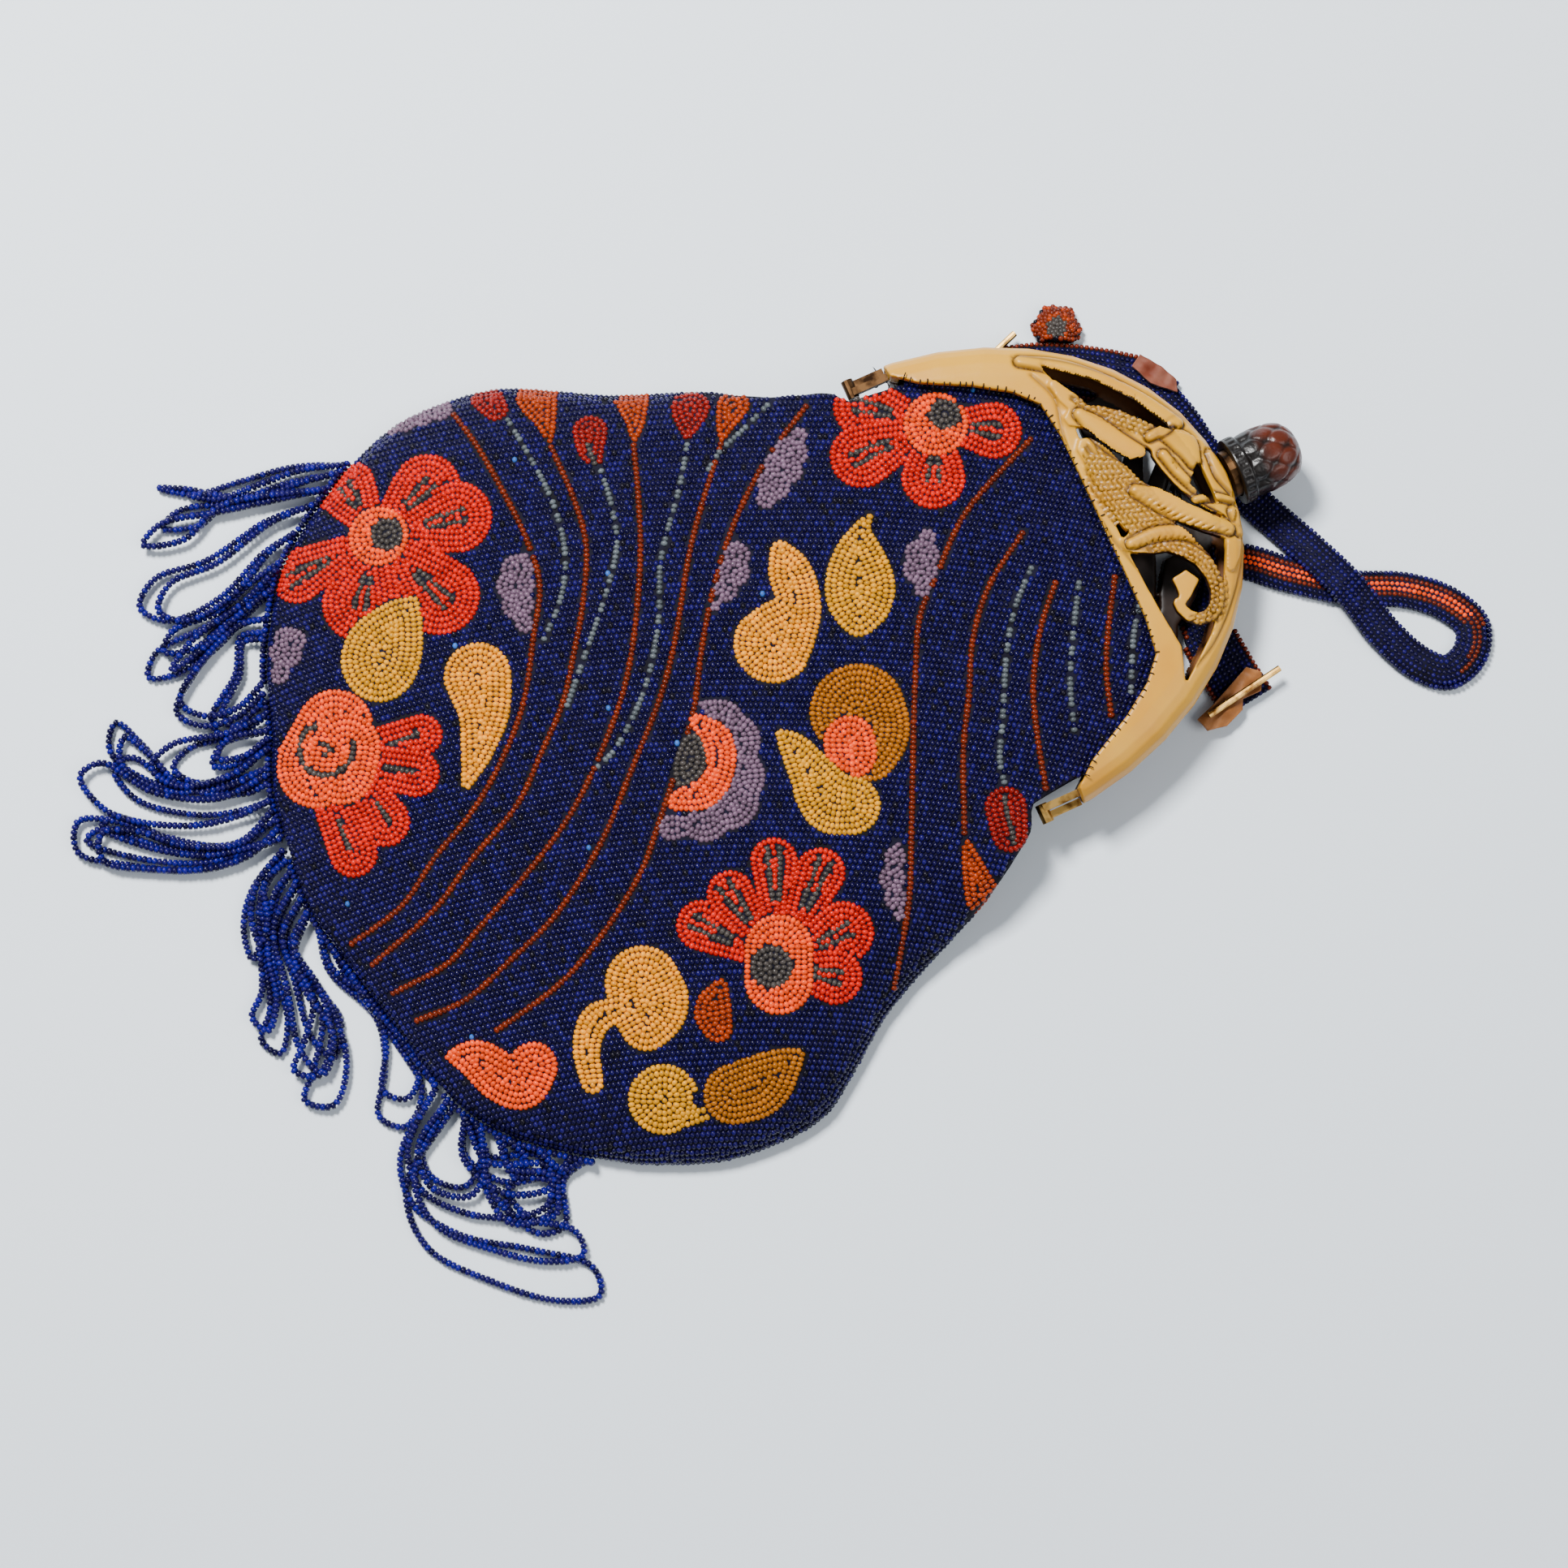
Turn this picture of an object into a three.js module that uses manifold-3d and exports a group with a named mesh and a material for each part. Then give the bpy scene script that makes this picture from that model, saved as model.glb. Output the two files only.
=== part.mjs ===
// Beaded evening purse with a carved celluloid dome frame, lying on its back.
// Millimetres. +Y points from the fringe to the clasp, +X to the right seen from above, +Z up.
// The pieces are laid out round the middle of the frame's hinge line, and the whole is then
// moved so that the origin is the middle of its footprint, on the surface that it lies on.
import * as THREE from 'three';
import { mergeVertices } from 'three/addons/utils/BufferGeometryUtils.js';
import Module from 'manifold-3d';

const wasm = await Module();
wasm.setup();

// Common sizes
const clearance = 0.3;
const weldDistance = 1e-4;
const cutReach = 1.2;

// Strap: a flat band of woven beads with a wider tab at each end
const strapThickness = 2.2;
const strapWidth = 9;
const tabWidth = 14.5;
const strapStep = 6.6;
const strapEdge = 0.5;

// Celluloid frame: two equal dished mouldings, one above the other
const frameHalfWidth = 60;
const frameHeight = 75.5;
const frameHalfDepth = 8.4;
const plateThickness = 2.5;
const partingGap = clearance;
const reliefHeight = 0.9;
const rimCurveStart = 0.8;
const rimCurvePower = 2.6;
const plateInnerEdge = 0.5;
const openworkRim = 0.925;
const openworkReach = 0.72;
const barTop = 0.585;
const barRise = 0.045;
const armEnd = 9.6;
const armTipLength = 2;
const dishSteps = 6;
const dishSides = 40;
const windowSteps = 10;
const strokeStepsPerSpan = 1.6;
const strokeTipLength = 1 / 3;

// Bag: two sheets of beaded cloth sewn along sides and hem
const bagHalfWidth = 100;
const bagDrop = 173;
const bagDepth = 16;
const bagWall = 1.8;
const sideSeamWidth = 3.2;
const seamHeight = 2.6;
const seamHalf = 0.7;
const lipHalf = 4.2;
const riseStart = 46;
const riseEnd = 3;
const gatherDepth = 0.9;
const crownPower = 3.2;
const backPower = 16;
const backFlat = 0.9;
const outsideStepsPerRow = 2;
const insideStepsPerRow = 1;
const foldSpreadAtMouth = 0.6;

// Fringe: looped strings of beads sewn under the hem
const stringDiameter = 2.2;
const stringSteps = 2;
const hemStripWidth = 2.2;
const hemStripHeight = 2.6;
const hemTop = 0.62;
const hemStepsPerPoint = 4;
const hemSharpest = 0.5;
const routeUnitsPerHalf = 100;

// Clasp: a carved knob that is pressed towards the frame
const knobDiameter = 17;
const knobLength = 17.7;
const knobTravel = 1.5;
const fluteDepth = 0.07;
const fluteCount = 8;
const fluteFrom = 0.2;
const collarDiameter = 12;
const collarLength = 3.7;
const stemDiameter = 4.6;
const turnedSides = 20;
const sidesPerFlute = 3;

// Hinge hardware at the two ends of the frame
const hingePinDiameter = 3;
const prongWidth = 1.8;
const prongHeight = 2.2;
const hingeInner = 0.92;
const pinSides = 12;

// Strap fittings, linings and the bead rosette
const rodDiameter = 1.7;
const rodSides = 10;
const liningThickness = 1;
const rosetteDiameter = 13;
const rosetteHeight = 4;
const rosettePetals = 6;
const petalDepth = 0.16;
const stepsPerPetal = 4;

// Heights that follow from the sizes above
const frameLowest = strapThickness + 2 * clearance + reliefHeight;
const midHeight = frameLowest + frameHalfDepth;
const mouthHalf = frameHalfDepth - plateThickness - clearance;

// Bag outline below the hinge line: down is a share of the drop, left and right are shares of
// the half width, and crown is a share of the depth
const bagRows = [
  { down: 0.029, left: 0.585, right: 0.605, crown: 1.0 },
  { down: 0.108, left: 0.64, right: 0.695, crown: 0.97 },
  { down: 0.197, left: 0.738, right: 0.765, crown: 0.95 },
  { down: 0.324, left: 0.831, right: 0.866, crown: 0.96 },
  { down: 0.445, left: 0.947, right: 1.02, crown: 0.98 },
  { down: 0.52, left: 0.976, right: 1.04, crown: 1.0 },
  { down: 0.613, left: 0.977, right: 1.025, crown: 0.98 },
  { down: 0.688, left: 0.935, right: 0.975, crown: 0.94 },
  { down: 0.74, left: 0.887, right: 0.93, crown: 0.9 },
  { down: 0.841, left: 0.768, right: 0.805, crown: 0.78 },
  { down: 0.89, left: 0.653, right: 0.72, crown: 0.68 },
  { down: 0.928, left: 0.529, right: 0.61, crown: 0.6 },
  { down: 0.954, left: 0.38, right: 0.43, crown: 0.54 },
  { down: 0.984, left: 0.26, right: 0.21, crown: 0.46 },
  { down: 1.0, left: 0.06, right: 0.08, crown: 0.4 },
];

// Bag mouth inside the frame: up is a share of the frame's height, half of its half width
const mouthRows = [
  { up: 0.583, half: 0.55 },
  { up: 0.53, half: 0.617 },
  { up: 0.464, half: 0.7 },
  { up: 0.358, half: 0.783 },
  { up: 0.199, half: 0.877 },
  { up: 0.127, half: 0.883 },
  { up: -0.034, half: 0.905 },
];

// Gathers and dents of the front sheet: across and width are shares of the half width, from and
// to are shares of the drop, depth is a share of the gather depth
const folds = [
  { across: -0.62, width: 0.16, from: 0.0, to: 0.42, depth: 0.9 },
  { across: -0.2, width: 0.17, from: 0.0, to: 0.36, depth: 0.7 },
  { across: 0.22, width: 0.17, from: 0.0, to: 0.4, depth: 0.8 },
  { across: 0.64, width: 0.16, from: 0.0, to: 0.44, depth: 1.0 },
  { across: 0.38, width: 0.24, from: 0.5, to: 0.86, depth: 1.2 },
  { across: -0.42, width: 0.26, from: 0.46, to: 0.8, depth: 1.0 },
];

// Inner edge of the frame's arms and underside of its bar, as shares of half width and height
const armRows = [
  { half: 0.922, up: 0.1 },
  { half: 0.9, up: 0.15 },
  { half: 0.847, up: 0.199 },
  { half: 0.742, up: 0.358 },
  { half: 0.653, up: 0.464 },
  { half: 0.56, up: 0.53 },
  { half: 0.41, up: 0.547 },
  { half: 0.2, up: 0.549 },
];

// Carved dragon and leaves as tapering strokes: x, y and w are shares of the frame's half width,
// height and height
const carving = [
  { name: 'belly_and_tail', points: [
    { x: -0.34, y: 0.6, w: 0.06 }, { x: -0.2, y: 0.634, w: 0.105 }, { x: -0.05, y: 0.657, w: 0.14 },
    { x: 0.09, y: 0.69, w: 0.125 }, { x: 0.19, y: 0.745, w: 0.075 }, { x: 0.29, y: 0.792, w: 0.056 },
    { x: 0.41, y: 0.8, w: 0.048 }, { x: 0.49, y: 0.765, w: 0.044 }, { x: 0.51, y: 0.71, w: 0.04 },
    { x: 0.46, y: 0.668, w: 0.036 }, { x: 0.4, y: 0.66, w: 0.03 }] },
  { name: 'tail_arrow', points: [
    { x: 0.335, y: 0.715, w: 0.09 }, { x: 0.38, y: 0.698, w: 0.05 }, { x: 0.42, y: 0.67, w: 0.02 }] },
  { name: 'hind_leg', points: [
    { x: 0.1, y: 0.595, w: 0.06 }, { x: 0.15, y: 0.65, w: 0.05 }, { x: 0.17, y: 0.71, w: 0.055 }] },
  { name: 'fore_leg', points: [
    { x: -0.46, y: 0.59, w: 0.05 }, { x: -0.42, y: 0.66, w: 0.074 }, { x: -0.33, y: 0.7, w: 0.084 },
    { x: -0.225, y: 0.75, w: 0.07 }] },
  { name: 'neck', points: [
    { x: -0.47, y: 0.64, w: 0.03 }, { x: -0.4, y: 0.72, w: 0.052 }, { x: -0.325, y: 0.765, w: 0.066 },
    { x: -0.24, y: 0.815, w: 0.08 }, { x: -0.17, y: 0.865, w: 0.09 }] },
  { name: 'head', points: [
    { x: -0.22, y: 0.82, w: 0.07 }, { x: -0.16, y: 0.88, w: 0.105 }, { x: -0.12, y: 0.95, w: 0.07 }] },
  { name: 'muzzle', points: [
    { x: -0.16, y: 0.875, w: 0.08 }, { x: -0.08, y: 0.872, w: 0.056 }, { x: -0.035, y: 0.85, w: 0.03 }] },
  { name: 'jaw', points: [
    { x: -0.19, y: 0.8, w: 0.034 }, { x: -0.08, y: 0.818, w: 0.034 }, { x: 0.03, y: 0.848, w: 0.026 }] },
  { name: 'crest', points: [
    { x: -0.12, y: 0.68, w: 0.045 }, { x: 0.0, y: 0.745, w: 0.06 }, { x: 0.12, y: 0.82, w: 0.06 },
    { x: 0.24, y: 0.92, w: 0.045 }] },
  { name: 'claw', points: [
    { x: 0.0, y: 0.842, w: 0.024 }, { x: 0.08, y: 0.87, w: 0.03 }, { x: 0.16, y: 0.945, w: 0.028 }] },
  { name: 'wing_root', points: [
    { x: -0.62, y: 0.59, w: 0.03 }, { x: -0.52, y: 0.62, w: 0.055 }, { x: -0.44, y: 0.655, w: 0.045 }] },
  { name: 'long_leaf', points: [
    { x: -0.17, y: 0.935, w: 0.03 }, { x: -0.03, y: 0.95, w: 0.06 }, { x: 0.1, y: 0.948, w: 0.055 },
    { x: 0.19, y: 0.93, w: 0.02 }] },
  { name: 'short_leaf', points: [
    { x: 0.22, y: 0.935, w: 0.03 }, { x: 0.3, y: 0.905, w: 0.055 }, { x: 0.37, y: 0.865, w: 0.025 }] },
];

// Knob and rosette outlines from base to top: out is a share of the radius, along and up are
// shares of the height
const knobRows = [
  { out: 0, along: 0 },
  { out: 0.96, along: 0 },
  { out: 1, along: 0.04 },
  { out: 1, along: 0.16 },
  { out: 0.93, along: 0.2 },
  { out: 0.97, along: 0.42 },
  { out: 0.93, along: 0.68 },
  { out: 0.8, along: 0.84 },
  { out: 0.52, along: 0.955 },
  { out: 0, along: 1 },
];
const rosetteRows = [
  { out: 0.8, up: 0 },
  { out: 1, up: 0.3 },
  { out: 0.9, up: 0.7 },
  { out: 0.5, up: 1 },
];

// Strap route from the left tab, under the knob, round the loop and back behind the frame, as
// shares of the frame's half width and height; lift is in strap thicknesses
const strapRoute = [
  { x: -0.795, y: 0.5, lift: 0, tab: 1 },
  { x: -0.75, y: 0.61, lift: 0, tab: 1 },
  { x: -0.68, y: 0.72, lift: 0, tab: 1 },
  { x: -0.59, y: 0.83, lift: 0, tab: 1 },
  { x: -0.48, y: 0.93, lift: 0, tab: 0.6 },
  { x: -0.33, y: 0.975, lift: 0, tab: 0 },
  { x: -0.127, y: 1.004, lift: 0, tab: 0 },
  { x: 0.157, y: 1.091, lift: 0, tab: 0 },
  { x: 0.43, y: 1.185, lift: 0.55, tab: 0 },
  { x: 0.63, y: 1.24, lift: 1.28, tab: 0 },
  { x: 0.85, y: 1.285, lift: 0.55, tab: 0 },
  { x: 1.03, y: 1.354, lift: 0, tab: 0 },
  { x: 1.107, y: 1.426, lift: 0, tab: 0 },
  { x: 1.072, y: 1.52, lift: 0, tab: 0 },
  { x: 0.972, y: 1.564, lift: 0, tab: 0 },
  { x: 0.845, y: 1.519, lift: 0, tab: 0 },
  { x: 0.723, y: 1.413, lift: 0, tab: 0 },
  { x: 0.62, y: 1.25, lift: 0, tab: 0 },
  { x: 0.46, y: 1.078, lift: 0, tab: 0 },
  { x: 0.335, y: 0.96, lift: 0, tab: 0 },
  { x: 0.3, y: 0.85, lift: 0, tab: 0 },
  { x: 0.4, y: 0.775, lift: 0, tab: 0.1 },
  { x: 0.56, y: 0.755, lift: 0, tab: 0.8 },
  { x: 0.74, y: 0.765, lift: 0, tab: 1 },
  { x: 0.885, y: 0.78, lift: 0, tab: 1 },
];

// Strap fittings: ends of the two rods, outlines of the two lining pieces and the rosette's
// centre, as shares of the frame's half width and height
const rodUpper = [{ x: -0.845, y: 0.41 }, { x: -0.925, y: 0.59 }];
const rodLower = [{ x: 0.865, y: 0.636 }, { x: 0.807, y: 0.914 }];
const liningUpper = [
  { x: -0.6, y: 0.9 }, { x: -0.5, y: 0.93 }, { x: -0.42, y: 1.0 },
  { x: -0.47, y: 1.015 }, { x: -0.55, y: 0.985 }, { x: -0.63, y: 0.94 },
];
const liningLower = [
  { x: 0.86, y: 0.6 }, { x: 0.92, y: 0.615 }, { x: 0.935, y: 0.68 }, { x: 0.9, y: 0.75 },
  { x: 0.86, y: 0.765 }, { x: 0.86, y: 0.83 }, { x: 0.79, y: 0.86 }, { x: 0.745, y: 0.82 },
  { x: 0.79, y: 0.74 }, { x: 0.83, y: 0.67 },
];
const rosetteCentre = { x: -0.875, y: 0.725 };

// Hem stretches that carry the fringe, as shares of the half width along the hem
const hemSpans = {
  fringe_upper: { from: -0.945, to: -0.5 },
  fringe_middle: { from: -0.49, to: -0.12 },
  fringe_lower: { from: -0.1, to: 0.58 },
  fringe_bundle: { from: 0.59, to: 0.9 },
};

// Routes of the looped strings from hem to hem: chosen points, each [x, height above the hem's
// lowest point] in hundredths of the bag's half width
const stringRoutes = {
  fringe_upper: [
    [[-95, 51], [-99, 44], [-99, 34], [-102, 24], [-105, 14], [-109, 8], [-106, 4], [-101, 9],
      [-97, 19], [-96, 33], [-93, 47]],
    [[-90, 44], [-93, 33], [-93, 21], [-97, 10], [-99, 1], [-96, -4], [-93, 1], [-92, 12],
      [-89, 26], [-89, 41]],
    [[-87, 40], [-87, 27], [-86, 12], [-87, -2], [-85, -9], [-80, -9], [-76, -3], [-77, 9],
      [-82, 24], [-83, 35]],
    [[-78, 30], [-77, 19], [-73, 9], [-72, -6], [-69, -13], [-64, -13], [-63, -6], [-67, 8],
      [-74, 24]],
    [[-66, 19], [-67, 10], [-63, -1], [-58, -9], [-53, -11], [-50, -6], [-52, 9]],
    [[-63, 17], [-62, 10], [-57, 2], [-52, -3], [-49, 1], [-54, 12]],
  ],
  fringe_middle: [
    [[-45, 8], [-43.5, 0], [-44, -9], [-46, -17], [-43, -22], [-38, -19], [-35, -11], [-34, -2],
      [-36, 6]],
    [[-31, 5], [-32, -7], [-37, -17], [-47, -25], [-57, -26], [-58, -30], [-53, -32], [-44, -29],
      [-35, -21], [-28, -8], [-27, 3]],
    [[-29, 4], [-29, -9], [-34, -21], [-44, -33], [-50, -37], [-47, -41], [-41, -39], [-31, -28],
      [-24, -12], [-24, 1]],
    [[-21, 1], [-19, -10], [-25, -23], [-34, -36], [-38, -43], [-36, -48], [-31, -47], [-24, -37],
      [-16, -21], [-14, -9], [-16, -1]],
  ],
  fringe_lower: [
    [[-9, -2], [-4, -11], [7, -17], [19, -20], [28, -25], [33, -24], [33, -19], [23, -16],
      [7, -12], [-2, -7], [-5, -2]],
    [[-8, -2], [-10, -9], [-5, -15], [4, -20], [10, -19], [8, -15], [-1, -12], [-7, -6]],
    [[-1, -1], [3, -8], [14, -12], [29, -15], [39, -17], [43, -14], [40, -10], [29, -9],
      [15, -8], [6, -1]],
    [[11, 0], [16, -4], [28, -5], [42, -8], [51, -14], [51, -20], [46, -22], [41, -17],
      [34, -10], [24, -2], [19, 1]],
    [[21, 1], [30, 0], [40, 2], [50, -3], [58, -6], [62, -2], [59, 3], [50, 4], [39, 4],
      [33, 4]],
  ],
  fringe_bundle: [
    [[60, 9], [66, 0], [76, -7], [90, -2], [103, 12], [113, 26], [119, 29], [121, 22], [111, 7],
      [98, -6], [84, -11], [70, -6], [63, 7]],
    [[66, 10], [73, 1], [81, 1], [85, 8], [80, 13], [70, 14]],
    [[71, 16], [80, 11], [92, 10], [99, 17], [95, 24], [87, 20], [78, 22]],
    [[76, 22], [86, 17], [95, 16], [101, 22], [97, 28], [90, 32], [84, 31]],
  ],
};

// Finishes
const finish = (color, roughness, metalness = 0) =>
  new THREE.MeshStandardMaterial({ color, roughness, metalness });
const finishes = {
  beads: finish(0x1b1652, 0.35),
  celluloid: finish(0xe2c283, 0.35),
  carvedHorn: finish(0x3a2418, 0.45),
  brass: finish(0xb08a3e, 0.35, 0.9),
  silk: finish(0xd2a98a, 0.7),
  redBeads: finish(0xa84318, 0.4),
};

// Solid handling: geometry to solid and back
function toSolid(geometry) {
  const bare = geometry.clone();
  bare.deleteAttribute('normal');
  bare.deleteAttribute('uv');
  const merged = mergeVertices(bare, weldDistance);
  const corners = merged.index.array;
  const kept = [];
  for (let i = 0; i < corners.length; i += 3) {
    const [a, b, c] = [corners[i], corners[i + 1], corners[i + 2]];
    if (a !== b && b !== c && c !== a) kept.push(a, b, c);
  }
  return new wasm.Manifold(new wasm.Mesh({
    numProp: 3,
    vertProperties: new Float32Array(merged.attributes.position.array),
    triVerts: new Uint32Array(kept),
  }));
}

function toGeometry(solid) {
  const mesh = solid.getMesh();
  const geometry = new THREE.BufferGeometry();
  geometry.setAttribute('position', new THREE.BufferAttribute(mesh.vertProperties, 3));
  geometry.setIndex(new THREE.BufferAttribute(mesh.triVerts, 1));
  geometry.computeVertexNormals();
  return geometry;
}

function joinAll(solids) {
  return solids.reduce((sum, solid) => sum.add(solid));
}

function piece(name, solid, material) {
  const mesh = new THREE.Mesh(toGeometry(solid), material);
  mesh.name = name;
  return mesh;
}

// An upright prism of a flat outline between two heights
function prism(points, low, high) {
  const geometry = new THREE.ExtrudeGeometry(new THREE.Shape(points), {
    depth: high - low,
    bevelEnabled: false,
    curveSegments: 1,
  });
  geometry.translate(0, 0, low);
  return toSolid(geometry);
}

// A closed skin through rings of equally many points, with a flat fan over each end
function loft(rings) {
  const count = rings[0].length;
  const positions = rings.flat().flatMap((point) => [point.x, point.y, point.z]);
  const index = [];
  for (let ring = 0; ring + 1 < rings.length; ring += 1) {
    for (let i = 0; i < count; i += 1) {
      const next = (i + 1) % count;
      const a = ring * count + i;
      const b = ring * count + next;
      index.push(a, b, b + count, a, b + count, a + count);
    }
  }
  const middle = (ring) => {
    const sum = ring.reduce((total, point) => total.add(point), new THREE.Vector3());
    return sum.divideScalar(ring.length);
  };
  const first = middle(rings[0]);
  const last = middle(rings[rings.length - 1]);
  const firstIndex = positions.length / 3;
  positions.push(first.x, first.y, first.z, last.x, last.y, last.z);
  const lastRing = (rings.length - 1) * count;
  for (let i = 0; i < count; i += 1) {
    const next = (i + 1) % count;
    index.push(firstIndex, next, i);
    index.push(firstIndex + 1, lastRing + i, lastRing + next);
  }
  const geometry = new THREE.BufferGeometry();
  geometry.setAttribute('position', new THREE.Float32BufferAttribute(positions, 3));
  geometry.setIndex(index);
  return toSolid(geometry);
}

const onFrame = (share) => new THREE.Vector2(share.x * frameHalfWidth, share.y * frameHeight);

const smooth = (from, to, value) => THREE.MathUtils.smoothstep(value, from, to);

// A smooth curve through one column of the bag's rows
function rowCurve(column) {
  return new THREE.CatmullRomCurve3(
    bagRows.map((row) => new THREE.Vector3(row.down * bagDrop, row[column], 0)),
    false,
    'centripetal',
  );
}

// The bag's left and right edges and its crown at even steps down the rows
function bagStations(perRow) {
  const curves = { left: rowCurve('left'), right: rowCurve('right'), crown: rowCurve('crown') };
  const count = (bagRows.length - 1) * perRow;
  const stations = [];
  for (let i = 0; i <= count; i += 1) {
    const at = i / count;
    const left = curves.left.getPoint(at);
    stations.push({
      y: -left.x,
      left: -left.y * bagHalfWidth,
      right: curves.right.getPoint(at).y * bagHalfWidth,
      crown: curves.crown.getPoint(at).y * bagDepth,
    });
  }
  return stations;
}

// How far the front sheet's folds lie below its smooth crown
function foldDepth(x, y) {
  const spread = THREE.MathUtils.lerp(foldSpreadAtMouth, 1, smooth(0, riseStart * 2, -y));
  return folds.reduce((sum, fold) => {
    const across = (x / bagHalfWidth - fold.across * spread) / fold.width;
    const down = -y / bagDrop;
    const middle = (fold.from + fold.to) / 2;
    const reach = (fold.to - fold.from) / 2;
    const along = THREE.MathUtils.clamp(Math.abs(down - middle) / reach, 0, 1);
    return sum + fold.depth * gatherDepth * Math.exp(-across * across) * (1 - along * along) ** 2;
  }, 0);
}

// Places across a section, as shares of its half width: finer towards the edges
const topSamples = [-1, -0.96, -0.85, -0.68, -0.46, -0.22, 0, 0.22, 0.46, 0.68, 0.85, 0.96, 1];
const backSamples = [1, 0.97, 0.89, 0.3, -0.3, -0.89, -0.97, -1];

// One closed ring of the bag's section; inset is the wall taken off it, flare widens it
function bagRing(station, inset, flare) {
  const raised = smooth(-riseStart, -riseEnd, station.y);
  const seam = THREE.MathUtils.lerp(seamHeight, midHeight, raised);
  const half = Math.max(THREE.MathUtils.lerp(seamHalf, lipHalf, raised) - inset, clearance);
  const base = THREE.MathUtils.lerp(0, midHeight - mouthHalf, raised) + inset;
  const top = THREE.MathUtils.lerp(station.crown, midHeight + mouthHalf, raised) - inset;
  const middle = (station.left + station.right) / 2;
  const reach = (station.right - station.left) / 2 + flare;
  const ring = [];
  for (const u of topSamples) {
    const x = middle + u * reach;
    const arch = Math.sqrt(1 - Math.abs(u) ** crownPower);
    const fold = foldDepth(x, station.y) * (1 - u * u) * (1 - raised);
    const z = seam + half + (top - seam - half) * arch - fold;
    ring.push(new THREE.Vector3(x, station.y, z));
  }
  for (const u of backSamples) {
    const x = middle + u * reach;
    const arch = Math.abs(u) < backFlat ? 1 : Math.sqrt(Math.max(1 - Math.abs(u) ** backPower, 0));
    const z = Math.min(base + (seam - half - base) * (1 - arch), seam - half);
    ring.push(new THREE.Vector3(x, station.y, z));
  }
  return ring.reverse();
}

// Sections of the mouth inside the frame; the topmost is moved up by extra
function mouthStations(extra) {
  return mouthRows.map((row, i) => ({
    y: row.up * frameHeight + (i === 0 ? extra : 0),
    left: -row.half * frameHalfWidth,
    right: row.half * frameHalfWidth,
    crown: bagDepth,
  }));
}

// The hollow bag: its outside less its inside, which leaves the mouth open
function bagBody() {
  const outerRows = [...mouthStations(0), ...bagStations(outsideStepsPerRow)];
  const outside = outerRows.map((station) => bagRing(station, 0, 0));
  const flare = plateThickness;
  const inMouth = mouthStations(flare).map((station) => bagRing(station, bagWall, flare));
  const innerRows = bagStations(insideStepsPerRow).slice(0, -2);
  const inBody = innerRows.map((station) => bagRing(station, bagWall, -sideSeamWidth));
  return loft(outside).subtract(loft([...inMouth, ...inBody]));
}

// The dished shell that a frame half is cut from, raised for its relief or filled at its tips
function dishShell(raise, filled) {
  const profile = [];
  const parting = partingGap / 2;
  for (let i = 0; i <= dishSteps; i += 1) {
    const angle = (i / dishSteps) * (Math.PI / 2);
    const share = rimCurveStart + (1 - rimCurveStart) * Math.cos(angle) ** (2 / rimCurvePower);
    const height = frameHalfDepth * Math.sin(angle) ** (2 / rimCurvePower);
    const proud = 1 + (raise / frameHeight) * Math.cos(angle);
    profile.push([share * proud * frameHeight, Math.max(height + raise * Math.sin(angle), parting)]);
  }
  profile.push([plateInnerEdge * frameHeight, frameHalfDepth + raise]);
  const inner = [[plateInnerEdge * frameHeight, frameHalfDepth - plateThickness]];
  for (let i = dishSteps; i >= 0; i -= 1) {
    const angle = (i / dishSteps) * (Math.PI / 2);
    const curve = (1 - rimCurveStart) * frameHeight - plateThickness;
    const radius = rimCurveStart * frameHeight + curve * Math.cos(angle) ** (2 / rimCurvePower);
    const height = (frameHalfDepth - plateThickness) * Math.sin(angle) ** (2 / rimCurvePower);
    inner.push([radius, Math.max(height, parting)]);
  }
  profile.push(...(filled ? [[plateInnerEdge * frameHeight, parting]] : inner));
  profile.push(profile[0]);
  const outline = profile.map(([radius, height]) => new THREE.Vector2(radius, height));
  const geometry = new THREE.LatheGeometry(outline, dishSides);
  geometry.rotateX(Math.PI / 2);
  geometry.scale(frameHalfWidth / frameHeight, 1, 1);
  return toSolid(geometry);
}

// Everything outside the bag's mouth: the two arms and the bar between them
function armAndBarOutline() {
  const side = (sign) => armRows.map((row) => new THREE.Vector2(
    sign * row.half * frameHalfWidth,
    Math.max(row.up * frameHeight, armEnd),
  ));
  const wide = frameHalfWidth * cutReach;
  const high = frameHeight * cutReach;
  return [
    new THREE.Vector2(wide, armEnd), new THREE.Vector2(wide, high),
    new THREE.Vector2(-wide, high), new THREE.Vector2(-wide, armEnd),
    ...side(-1), ...side(1).reverse(),
  ];
}

// The lens-shaped window between the bar and the rim
function openworkOutline() {
  const lower = [];
  const upper = [];
  for (let i = 0; i <= windowSteps; i += 1) {
    const share = -openworkReach + (2 * openworkReach * i) / windowSteps;
    const low = frameHeight * (barTop + barRise * (share / openworkReach) ** 2);
    const high = frameHeight * Math.sqrt(openworkRim ** 2 - share ** 2);
    lower.push(new THREE.Vector2(share * frameHalfWidth, Math.min(low, high - partingGap)));
    upper.push(new THREE.Vector2(share * frameHalfWidth, high));
  }
  return [...lower, ...upper.reverse()];
}

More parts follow.
